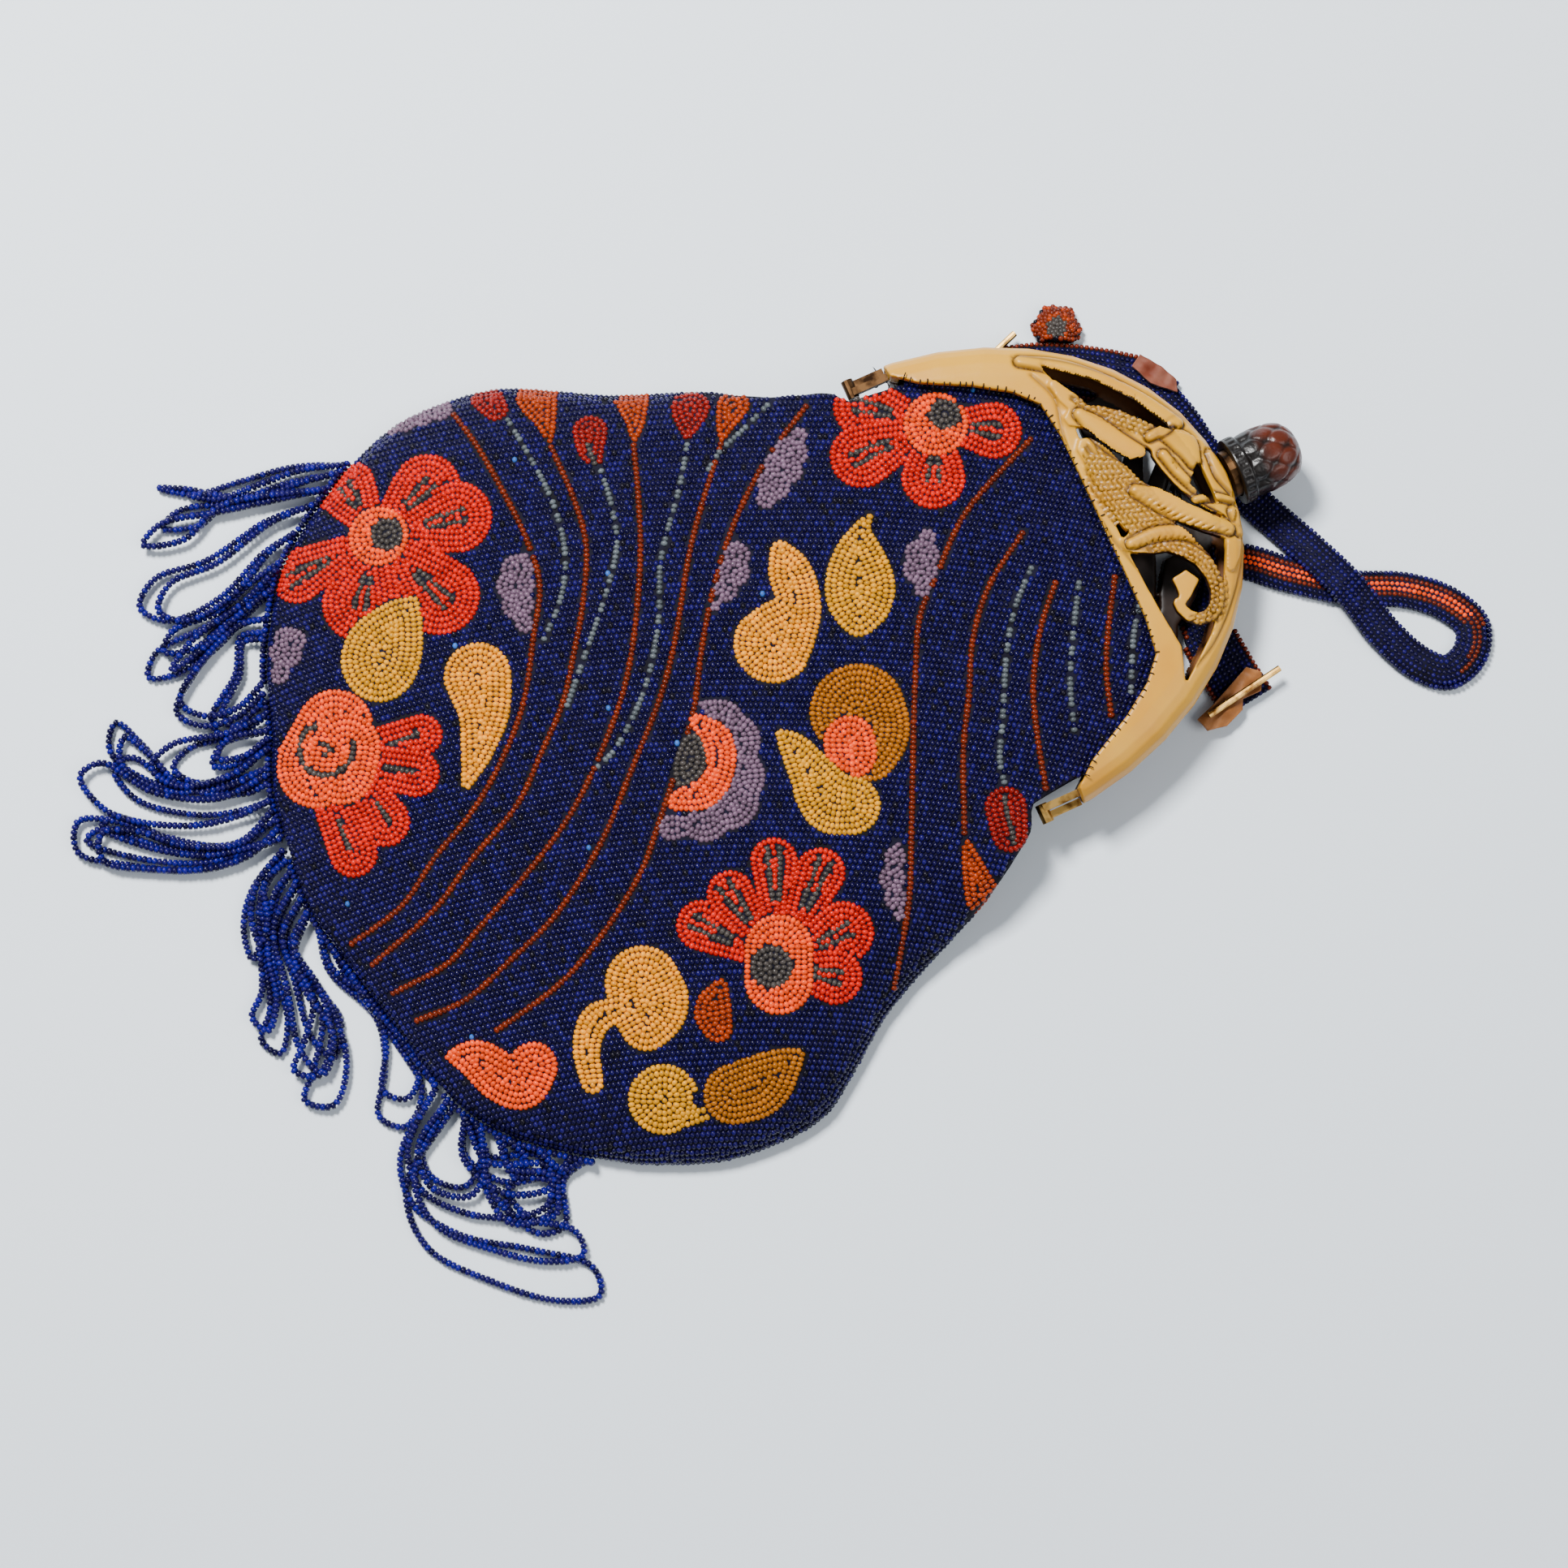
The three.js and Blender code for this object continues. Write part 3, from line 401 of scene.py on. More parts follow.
@dataclass(frozen=True)
class GlassBeads:
    """Small glass beads: a glossy skin over colour from each bead's own tone."""

    name: str = "glass_seed_beads"
    roughness: float = 0.2
    grime: float = 0.15

    def material(self) -> bpy.types.Material:
        """Builds the finish and returns its material."""
        # Each bead shows one small highlight, and dust dulls the cloth in soft patches
        nodes = Nodes(self.name)
        tone = nodes.add("ShaderNodeAttribute", attribute_name=BEAD_TONE).outputs["Color"]
        dust = nodes.ramp(nodes.noise(14.0), ((0.35, "#FFFFFF"), (0.75, "#B4AAA8")))
        inputs = {0: self.grime, 6: tone, 7: dust}
        dulled = nodes.add("ShaderNodeMix", inputs, data_type="RGBA", blend_type="MULTIPLY")
        nodes.set(Base_Color=dulled.outputs[2], Roughness=self.roughness, Specular_IOR_Level=0.2)
        return nodes.material


@dataclass(frozen=True)
class Celluloid:
    """Ivory-coloured celluloid, darkened in its recesses by brown wash together with painted shade."""

    name: str
    light: str = "#C6901E"
    honey: str = "#BA7E18"
    # The colour of the brown wash and of the painted shade in the recesses
    painted_light_and_wash: str = "#2C1204"
    roughness: float = 0.3

    def material(self) -> bpy.types.Material:
        """Builds the finish and returns its material."""
        # Honey clouds under a worn gloss look old; dark wash with painted shade in the gaps, recesses and
        # openwork walls makes the carving readable
        nodes = Nodes(self.name)
        ground = nodes.ramp(nodes.noise(22.0, 4.0), ((0.38, self.light), (0.72, self.honey)))
        # Mixes in the dark colour where the attribute holds brown wash and painted shade
        painted_light_and_wash = nodes.add("ShaderNodeAttribute", attribute_name=PAINTED_LIGHT_AND_WASH).outputs["Fac"]
        inputs = {0: painted_light_and_wash, 6: ground, 7: (*linear(self.painted_light_and_wash), 1.0)}
        colour = nodes.add("ShaderNodeMix", inputs, data_type="RGBA", blend_type="MIX")
        inputs = {0: nodes.noise(6.0), 3: self.roughness, 4: self.roughness + 0.2}
        worn = nodes.add("ShaderNodeMapRange", inputs)
        nodes.set(
            Base_Color=colour.outputs[2],
            Roughness=worn.outputs[0],
            Specular_IOR_Level=0.35,
            Subsurface_Weight=0.06,
            Subsurface_Radius=(0.003, 0.0015, 0.0006),
        )
        nodes.bump(nodes.noise(1.6), 0.05, 0.5)
        return nodes.material


@dataclass(frozen=True)
class CarvedHorn:
    """Dark brown celluloid of the knob, with a painted red-brown highlight towards its top."""

    name: str = "dark_brown_celluloid"
    dark: str = "#0E0907"
    red: str = "#481A0A"

    def material(self) -> bpy.types.Material:
        """Builds the finish and returns its material."""
        # Painted highlight: the raised leaves turn red-brown towards the top, and the grooves between stay
        # black as painted shade
        nodes = Nodes(self.name)
        tone = nodes.add("ShaderNodeAttribute", attribute_name=PAINTED_LIGHT_AND_WASH).outputs["Fac"]
        colour = nodes.ramp(tone, ((0.1, self.dark), (0.85, self.red)))
        nodes.set(Base_Color=colour, Roughness=0.32, Specular_IOR_Level=0.35)
        nodes.bump(nodes.noise(1.1), 0.15, 0.8)
        return nodes.material


@dataclass(frozen=True)
class AgedBrass:
    """Brass dulled by handling."""

    name: str = "aged_brass"
    bright: str = "#D0A55A"
    dull: str = "#6E4A20"
    roughness: float = 0.32

    def material(self) -> bpy.types.Material:
        """Builds the finish and returns its material."""
        # Brown patches break the metal's shine, so that it looks handled and not new
        nodes = Nodes(self.name)
        colour = nodes.ramp(nodes.noise(3.0), ((0.35, self.dull), (0.6, self.bright)))
        nodes.set(Base_Color=colour, Metallic=1.0, Roughness=self.roughness)
        return nodes.material


@dataclass(frozen=True)
class Cloth:
    """Plain fine cloth, such as the ground under the beads or the silk of the tabs."""

    name: str
    low: str
    high: str
    weave: float = 0.35
    roughness: float = 0.8
    sheen: float = 0.0

    def material(self) -> bpy.types.Material:
        """Builds the finish and returns its material."""
        # Soft patches and a fine grain keep the cloth matt beside the glossy beads
        nodes = Nodes(self.name)
        colour = nodes.ramp(nodes.noise(5.0), ((0.35, self.low), (0.7, self.high)))
        nodes.set(
            Base_Color=colour,
            Roughness=self.roughness,
            Sheen_Weight=self.sheen,
            Specular_IOR_Level=0.15,
        )
        nodes.bump(nodes.noise(self.weave, 1.0), 0.05, 0.5)
        return nodes.material


@dataclass(frozen=True)
class TableTop:
    """The pale bluish-white table."""

    name: str = "pale_table"
    colour: str = "#DDE5EC"

    def material(self) -> bpy.types.Material:
        """Builds the finish and returns its material."""
        # A plain matt surface takes the purse's soft shadow and nothing else
        nodes = Nodes(self.name)
        nodes.set(Base_Color=(*linear(self.colour), 1.0), Roughness=0.75)
        return nodes.material


@dataclass
class Finishes:
    """The materials that the sub-assemblies share, made once."""

    beads: bpy.types.Material = field(default_factory=lambda: GlassBeads().material())
    ivory: bpy.types.Material = field(default_factory=lambda: Celluloid("ivory_celluloid").material())
    # A darker copy of the same celluloid for the back half: painted shade, as that half lies in shade behind
    # the front's openwork
    shaded: bpy.types.Material = field(
        default_factory=lambda: Celluloid("shaded_celluloid", "#6E4422", "#4A2A12", "#1C0E06").material()
    )
    horn: bpy.types.Material = field(default_factory=lambda: CarvedHorn().material())
    brass: bpy.types.Material = field(default_factory=lambda: AgedBrass().material())
    dark_metal: bpy.types.Material = field(
        default_factory=lambda: AgedBrass("tarnished_brass", "#5A4028", "#20140C", 0.45).material()
    )
    # The cloth under the beads: its own dark navy, made near-black as painted shade in the gaps between the
    # beads
    ground: bpy.types.Material = field(
        default_factory=lambda: Cloth("ground_cloth_and_shade", "#04030C", "#0A0820").material()
    )
    thread: bpy.types.Material = field(
        default_factory=lambda: Cloth("dark_thread", "#0C0A10", "#1E1A22").material()
    )
    silk: bpy.types.Material = field(
        default_factory=lambda: Cloth("brown_silk", "#7C4A20", "#A87040", 0.3, 0.5, 0.2).material()
    )
    rust_silk: bpy.types.Material = field(
        default_factory=lambda: Cloth("rust_silk", "#5C2412", "#7A4A3A", 0.3, 0.6, 0.1).material()
    )


# Beads


@dataclass(frozen=True)
class Bead:
    """The shape of one bead: half sizes in millimetres along its hole, across and up."""

    along: float = 0.68
    across: float = 0.86
    up: float = 0.68

    def shape(self, fine: bool) -> tuple[np.ndarray, np.ndarray]:
        """Returns the vertices and triangles of a bead of half size one.

        Args:
            fine: Whether it is seen from close by: 20 faces instead of 8.
        """
        if not fine:
            vertices = np.array([[1, 0, 0], [-1, 0, 0], [0, 1, 0], [0, -1, 0], [0, 0, 1], [0, 0, -1]], float)
            faces = [[0, 2, 4], [2, 1, 4], [1, 3, 4], [3, 0, 4], [2, 0, 5], [1, 2, 5], [3, 1, 5], [0, 3, 5]]
            return vertices * 1.1, np.array(faces)
        golden = (1 + math.sqrt(5)) / 2
        corners = []
        for a in (-1, 1):
            for b in (-golden, golden):
                corners += [[0, a, b], [a, b, 0], [b, 0, a]]
        vertices = np.array(corners, float)
        vertices /= np.linalg.norm(vertices[0])
        edge = min(np.linalg.norm(vertices[0] - v) for v in vertices[1:])
        faces = []
        for i in range(12):
            for j in range(i + 1, 12):
                for k in range(j + 1, 12):
                    trio = vertices[[i, j, k]]
                    sides = [np.linalg.norm(trio[m] - trio[(m + 1) % 3]) for m in range(3)]
                    if max(sides) > edge * 1.01:
                        continue
                    outwards = np.dot(np.cross(trio[1] - trio[0], trio[2] - trio[0]), trio[0]) > 0
                    faces.append([i, j, k] if outwards else [i, k, j])
        return vertices * 1.06, np.array(faces)


@dataclass
class BeadBatch:
    """Beads that are gathered first and then built as one or a few joined meshes."""

    bead: Bead = field(default_factory=Bead)
    fine: bool = True
    seed: int = 7
    places: list[np.ndarray] = field(default_factory=list)
    alongs: list[np.ndarray] = field(default_factory=list)
    normals: list[np.ndarray] = field(default_factory=list)
    tones: list[np.ndarray] = field(default_factory=list)
    sizes: list[np.ndarray] = field(default_factory=list)

    def lay(
        self,
        places: np.ndarray,
        alongs: np.ndarray,
        normals: np.ndarray,
        tones: np.ndarray,
        size: float = 1.0,
    ) -> None:
        """Adds beads.

        Args:
            places: Their centres (n, 3), in the purse's own millimetres.
            alongs: The directions of their holes (n, 3).
            normals: The directions away from the cloth (n, 3).
            tones: Their linear colours (n, 3).
            size: How large they are beside the batch's bead.
        """
        self.places.append(places)
        self.alongs.append(alongs)
        self.normals.append(normals)
        self.tones.append(tones)
        self.sizes.append(np.full(len(places), size))

    def build(self, layout: Layout, name: str, limit: int = 190_000) -> list[bpy.types.Object]:
        """Builds the joined meshes.

        Args:
            layout: Where the purse lies in the row frame.
            name: The first part of their names.
            limit: The most triangles in one of them.

        Returns:
            The objects.
        """
        rng = np.random.default_rng(self.seed)
        places = np.concatenate(self.places)
        alongs = np.concatenate(self.alongs)
        normals = np.concatenate(self.normals)
        sizes = np.concatenate(self.sizes)
        count = len(places)
        alongs = alongs + rng.normal(0, 0.09, (count, 3))
        alongs -= normals * np.sum(alongs * normals, axis=1, keepdims=True)
        alongs /= np.linalg.norm(alongs, axis=1, keepdims=True)
        acrosses = np.cross(normals, alongs)
        half = np.array([self.bead.along, self.bead.across, self.bead.up])
        scale = sizes[:, None] * rng.uniform(0.93, 1.05, (count, 1)) * half
        vertices, faces = self.bead.shape(self.fine)
        axes = np.stack([alongs, acrosses, normals], axis=1) * scale[:, :, None]
        centres = places + normals * rng.normal(0, 0.05, (count, 1))
        spread = np.einsum("vk,nkd->nvd", vertices, axes) + centres[:, None, :]
        tones = np.concatenate(self.tones) * rng.uniform(0.72, 1.25, (count, 1))
        per_piece = limit // len(faces)
        made = []
        for start in range(0, count, per_piece):
            part = slice(start, min(start + per_piece, count))
            block = spread[part]
            shifted = faces[None, :, :] + np.arange(len(block))[:, None, None] * len(vertices)
            made.append(
                new_mesh(
                    f"{name}_{len(made) + 1}",
                    layout.to_frame(block.reshape(-1, 3)),
                    shifted.reshape(-1, 3),
                    np.repeat(tones[part], len(vertices), axis=0),
                )
            )
        return made


# The bag's pattern


@dataclass(frozen=True)
class Brush:
    """One shape or line of the pattern: a spine of (x, y, radius) in chart units."""

    tone: Tone
    spine: tuple[tuple[float, float, float], ...]
    is_line: bool = False
    dash: float = 0.0
    dash_share: float = 0.75
    notch: float = 0.0
    notch_pitch: float = 26.0

    def curve(self) -> np.ndarray:
        """Returns the smooth spine, (n, 3), with at least two points."""
        return smooth_spine(self.spine)

    def depth(self, points: np.ndarray) -> np.ndarray:
        """Returns how far inside the shape the chart points (n, 2) are."""
        best = np.full(len(points), -1e9)
        curve = self.curve()
        walked = 0.0
        for a, b in zip(curve, curve[1:]):
            span = b[:2] - a[:2]
            reached = ((points - a[:2]) @ span) / (span @ span)
            share = np.clip(reached, 0, 1)
            gap = np.linalg.norm(points - a[:2] - share[:, None] * span, axis=1)
            place = walked + reached * np.linalg.norm(span)
            notched = self.notch * (1 - np.abs(np.sin(np.pi * place / self.notch_pitch)))
            best = np.maximum(best, a[2] + share * (b[2] - a[2]) - gap - notched)
            walked += np.linalg.norm(span)
        return best

    def rows(self, pitch: float, spacing: float) -> tuple[np.ndarray, np.ndarray, np.ndarray]:
        """Lays rows of beads: one along a line, or rings inside a shape's edge.

        Args:
            pitch: The distance between rows.
            spacing: The distance between beads in a row.

        Returns:
            Places (n, 2), the rows' directions there, and whether a place belongs to no row
            and is only there to fill what the rows leave open.
        """
        curve = self.curve()
        if self.is_line:
            places, alongs, walked = even_steps(curve[:, :2], spacing)
            shown = np.ones(len(places), bool)
            if self.dash:
                shown = walked % self.dash < self.dash * self.dash_share
            return places[shown], alongs[shown], np.zeros(shown.sum(), bool)
        mesh = 2.0
        reach = curve[:, 2].max() + 2 * mesh
        across = np.arange(curve[:, 0].min() - reach, curve[:, 0].max() + reach, mesh)
        down = np.arange(curve[:, 1].min() - reach, curve[:, 1].max() + reach, mesh)
        grid = np.stack(np.meshgrid(across, down), axis=2)
        depth = self.depth(grid.reshape(-1, 2)).reshape(grid.shape[:2])
        places, alongs = [], []
        for inset in np.arange(pitch / 2, depth.max(), pitch):
            for loop in level_loops(grid, depth - inset):
                found, along, _ = even_steps(loop, spacing)
                places.append(found)
                alongs.append(along)
        fill = grid.reshape(-1, 2)[depth.ravel() > pitch * 0.45]
        in_rows = sum(len(p) for p in places)
        places.append(fill)
        alongs.append(np.tile([1.0, 0.0], (len(fill), 1)))
        loose = np.arange(in_rows + len(fill)) >= in_rows
        return np.concatenate(places), np.concatenate(alongs), loose


@lru_cache(maxsize=None)
def smooth_spine(spine: tuple[tuple[float, float, float], ...]) -> np.ndarray:
    """Draws a smooth line of (x, y, radius) through a brush's spine."""
    points = np.array(spine, float)
    if len(points) == 1:
        return np.vstack([points, points + [0.5, 0, 0]])
    return spline(points, 6)


def level_loops(grid: np.ndarray, height: np.ndarray) -> list[np.ndarray]:
    """Traces the closed lines on which a height over a grid is nought.

    Args:
        grid: The grid's places (rows, columns, 2).
        height: The height at each of them.

    Returns:
        The loops, each (n, 2).
    """
    rows, columns = height.shape
    number = np.arange(rows * columns).reshape(rows, columns)
    a, b = number[:-1, :-1].ravel(), number[:-1, 1:].ravel()
    c, d = number[1:, :-1].ravel(), number[1:, 1:].ravel()
    triangles = np.concatenate([np.stack([a, b, c], axis=1), np.stack([b, d, c], axis=1)])
    flat = height.ravel()
    places = grid.reshape(-1, 2)
    above = flat[triangles] > 0
    mixed = above.any(axis=1) & ~above.all(axis=1)
    links: dict[tuple[int, int], list[tuple[int, int]]] = {}
    for corners, high in zip(triangles[mixed].tolist(), above[mixed].tolist()):
        odd = high.index(sum(high) == 1)
        others = [k for k in range(3) if k != odd]
        first, second = (tuple(sorted((corners[odd], corners[k]))) for k in others)
        links.setdefault(first, []).append(second)
        links.setdefault(second, []).append(first)
    loops = []
    while links:
        edge = next(iter(links))
        walk = []
        while edge in links:
            near = links.pop(edge)
            i, j = edge
            share = flat[i] / (flat[i] - flat[j])
            walk.append(places[i] + share * (places[j] - places[i]))
            edge = next((n for n in near if n in links), None)
        if len(walk) > 4:
            loops.append(np.array(walk + walk[:1]))
    return loops


def shape(tone: Tone, *spine: tuple[float, float, float]) -> Brush:
    """Returns a shape round a spine of (x, y, radius) points."""
    return Brush(tone, spine)


def notched_shape(tone: Tone, *spine: tuple[float, float, float], pitch: float = 26.0) -> Brush:
    """Returns a shape with a notched edge, as the mauve petals have."""
    return Brush(tone, spine, notch=8.0, notch_pitch=pitch)


def line(tone: Tone, *points: tuple[float, float], dash: float = 0.0) -> Brush:
    """Returns a single row of beads through chart points."""
    return Brush(tone, tuple((x, y, 4.0) for x, y in points), True, dash)


@dataclass(frozen=True)
class Flower:
    """A red flower: heart, orange ring and petals, each (x, y, radius)."""

    heart: tuple[float, float, float]
    ring: tuple[tuple[float, float, float], ...]
    petals: tuple[tuple[float, float, float], ...]

    def brushes(self) -> list[Brush]:
        """Returns the petals, their grey lines, the ring and the heart."""
        middle = np.mean(np.array(self.ring), axis=0)
        shapes, lines = [], []
        for x, y, radius in self.petals:
            root = (middle[0] * 0.55 + x * 0.45, middle[1] * 0.55 + y * 0.45, radius * 0.62)
            shapes.append(shape(Tone.RED, root, (x, y, radius)))
            lean = np.array([y - middle[1], middle[0] - x])
            lean *= 8.0 / np.linalg.norm(lean)
            for way in (-1, 1):
                side_x, side_y = way * lean[0], way * lean[1]
                near = (middle[0] * 0.4 + x * 0.6 + side_x * 0.5, middle[1] * 0.4 + y * 0.6 + side_y * 0.5)
                far = (x * 1.15 - middle[0] * 0.15 + side_x, y * 1.15 - middle[1] * 0.15 + side_y)
                lines.append(line(Tone.GREY, near, far))
        return [*shapes, *lines, Brush(Tone.ORANGE, self.ring), Brush(Tone.GREY, (self.heart,))]


def stripes() -> list[Brush]:
    """Returns the rust lines and the grey dashed lines between them."""
    rust = [
        ((546, 493), (584, 545), (622, 611), (650, 668), (667, 724), (660, 790), (647, 877), (612, 962),
         (579, 1014), (542, 1058), (501, 1117), (435, 1165)),
        ((677, 548), (707, 616), (723, 672), (721, 743), (709, 814), (697, 870), (671, 932), (642, 995),
         (586, 1062), (542, 1121), (461, 1191)),
        ((780, 545), (787, 616), (790, 696), (775, 838), (742, 936), (705, 1010), (653, 1080), (594, 1147),
         (557, 1188), (486, 1225)),
        ((889, 545), (853, 672), (832, 800), (816, 862), (779, 958), (745, 1040), (690, 1128), (634, 1184),
         (579, 1232), (516, 1258)),
        ((995, 502), (948, 564), (915, 625), (893, 682), (877, 743), (865, 809), (856, 880), (836, 950),
         (812, 1025), (793, 1077), (745, 1154), (697, 1210), (645, 1250), (615, 1270)),
        ((1270, 545), (1187, 640), (1151, 719), (1132, 765), (1126, 836), (1121, 1026), (1119, 1104),
         (1112, 1154), (1095, 1250)),
        ((1259, 661), (1216, 729), (1196, 794), (1191, 861), (1184, 926), (1185, 1033)),
        ((1298, 722), (1278, 783), (1269, 854), (1273, 908), (1284, 979)),
        ((1370, 715), (1362, 772), (1358, 829), (1364, 890)),
    ]
    grey = [
        ((622, 512), (650, 559), (683, 625), (698, 687), (693, 743), (672, 795)),
        ((738, 573), (754, 625), (761, 677), (749, 734), (731, 790), (701, 877)),
        ((847, 545), (838, 600), (815, 696), (813, 767), (797, 852), (760, 929), (738, 951)),
        ((948, 498), (915, 531), (886, 559), (872, 583)),
        ((1269, 704), (1248, 754), (1237, 811), (1232, 890), (1228, 944), (1234, 972)),
        ((1326, 722), (1318, 790), (1314, 847), (1319, 908)),
        ((1400, 751), (1392, 788), (1388, 862)),
    ]
    return [line(Tone.RUST, *p) for p in rust] + [line(Tone.SLATE, *p, dash=20.0) for p in grey]


def buds() -> list[Brush]:
    """Returns the mauve patches, the dark red buds and the brown wedges at the stripes' ends."""
    return [
        notched_shape(Tone.MAUVE, (354, 796, 26), (346, 825, 16), (338, 842, 7)),
        notched_shape(Tone.MAUVE, (648, 690, 12), (638, 715, 24), (642, 755, 20), (652, 780, 8)),
        notched_shape(Tone.MAUVE, (480, 520, 12), (515, 502, 20), (545, 498, 14)),
        notched_shape(Tone.MAUVE, (982, 546, 16), (968, 575, 26), (948, 612, 20)),
        notched_shape(Tone.MAUVE, (906, 672, 10), (908, 698, 20), (898, 725, 18), (882, 752, 8)),
        notched_shape(Tone.MAUVE, (1140, 674, 16), (1133, 700, 24), (1135, 730, 13)),
        notched_shape(Tone.MAUVE, (1104, 1046, 12), (1098, 1085, 17), (1106, 1125, 12)),
        shape(Tone.DARK_RED, (596, 484, 20), (608, 500, 16)),
        shape(Tone.DARK_RED, (726, 530, 22), (728, 556, 16), (736, 572, 6)),
        shape(Tone.DARK_RED, (850, 500, 25), (848, 522, 14), (847, 538, 5)),
        shape(Tone.DARK_RED, (1235, 1000, 26), (1240, 1032, 22)),
        shape(Tone.WEDGE, (658, 484, 26), (671, 518, 13), (677, 546, 4)),
        shape(Tone.WEDGE, (777, 488, 21), (782, 518, 12), (780, 543, 4)),
        shape(Tone.WEDGE, (903, 498, 21), (894, 522, 12), (889, 543, 4)),
        shape(Tone.WEDGE, (1187, 1040, 5), (1196, 1072, 14), (1208, 1106, 22)),
        line(Tone.GREY, (722, 545), (734, 575)),
        line(Tone.GREY, (1232, 985), (1246, 1045)),
    ]


def drops() -> list[Brush]:
    """Returns the yellow, olive, brown and orange drops, commas and leaves."""
    return [
        shape(Tone.AMBER, (592, 838, 42), (600, 880, 32), (592, 930, 20), (580, 970, 7)),
        shape(Tone.AMBER, (961, 682, 12), (974, 712, 27), (984, 752, 28), (953, 798, 49)),
        shape(Tone.OLIVE, (1070, 642, 5), (1060, 662, 13), (1057, 700, 34), (1059, 735, 43), (1058, 768, 23)),
        shape(Tone.BROWN, (1056, 882, 59), (1068, 905, 51), (1072, 935, 32)),
        shape(Tone.ORANGE, (1046, 918, 32), (1048, 932, 32)),
        shape(Tone.OLIVE, (960, 907, 5), (978, 925, 18), (1000, 957, 28), (1024, 992, 38), (1048, 996, 36)),
        shape(Tone.AMBER, (795, 1212, 46), (803, 1235, 48), (800, 1262, 32)),
        shape(Tone.AMBER, (768, 1242, 15), (738, 1256, 19), (727, 1290, 17), (734, 1332, 14)),
        shape(Tone.WEDGE, (889, 1216, 10), (880, 1245, 23), (886, 1266, 18)),
        shape(Tone.ORANGE, (560, 1300, 7), (592, 1304, 24), (622, 1325, 31), (648, 1334, 31),
              (662, 1312, 30)),
        shape(Tone.OLIVE, (820, 1352, 43)),
        shape(Tone.OLIVE, (845, 1376, 11), (884, 1366, 7)),
        shape(Tone.NAVY, (864, 1352, 9)),
        shape(Tone.BROWN, (905, 1346, 37), (935, 1336, 38), (965, 1312, 22), (984, 1298, 8)),
    ]


def blossoms() -> list[Brush]:
    """Returns the red flowers, the orange rose and the half flower."""
    flowers = [
        Flower((477, 660, 21), ((466, 662, 38),), (
            (424, 600, 38), (524, 602, 44), (562, 640, 46), (545, 738, 49), (447, 744, 50), (366, 708, 36))),
        Flower((1163, 516, 20), ((1152, 528, 40),), (
            (1064, 506, 38), (1062, 568, 40), (1149, 594, 40), (1222, 536, 36))),
        Flower((951, 1192, 26), ((960, 1170, 42), (960, 1208, 42)), (
            (866, 1142, 31), (901, 1104, 29), (954, 1064, 29), (1010, 1078, 31), (1038, 1150, 38),
            (1028, 1204, 34))),
    ]
    half_flower = [
        notched_shape(Tone.MAUVE, (870, 874, 14), (910, 897, 20), (920, 945, 22), (917, 988, 24),
                      (880, 1016, 24), (828, 1024, 16), pitch=44.0),
        shape(Tone.ORANGE, (860, 893, 10), (884, 915, 19), (888, 945, 20), (870, 978, 22), (836, 992, 12)),
        shape(Tone.GREY, (855, 922, 14), (852, 945, 20), (842, 965, 10)),
    ]
    rose = [
        shape(Tone.RED, (475, 920, 22), (524, 910, 26)),
        shape(Tone.RED, (462, 946, 26), (518, 957, 29)),
        shape(Tone.RED, (460, 985, 26), (480, 1015, 31)),
        shape(Tone.RED, (417, 1000, 26), (440, 1052, 31)),
        line(Tone.GREY, (484, 922), (522, 906)),
        line(Tone.GREY, (478, 948), (516, 956)),
        line(Tone.GREY, (468, 990), (486, 1016)),
        line(Tone.GREY, (420, 1010), (436, 1050)),
        shape(Tone.ORANGE, (415, 902, 50), (394, 944, 54)),
        shape(Tone.ORANGE, (430, 925, 44), (425, 950, 44)),
        line(Tone.GREY, (441, 915), (434, 942), (405, 958), (380, 948), (371, 925), (378, 904), (394, 896)),
        line(Tone.GREY, (398, 918), (410, 924), (402, 934)),
    ]
    leaf = [shape(Tone.OLIVE, (511, 745, 8), (492, 775, 32), (472, 815, 50), (474, 838, 31))]
    return [b for flower in flowers for b in flower.brushes()] + half_flower + rose + leaf


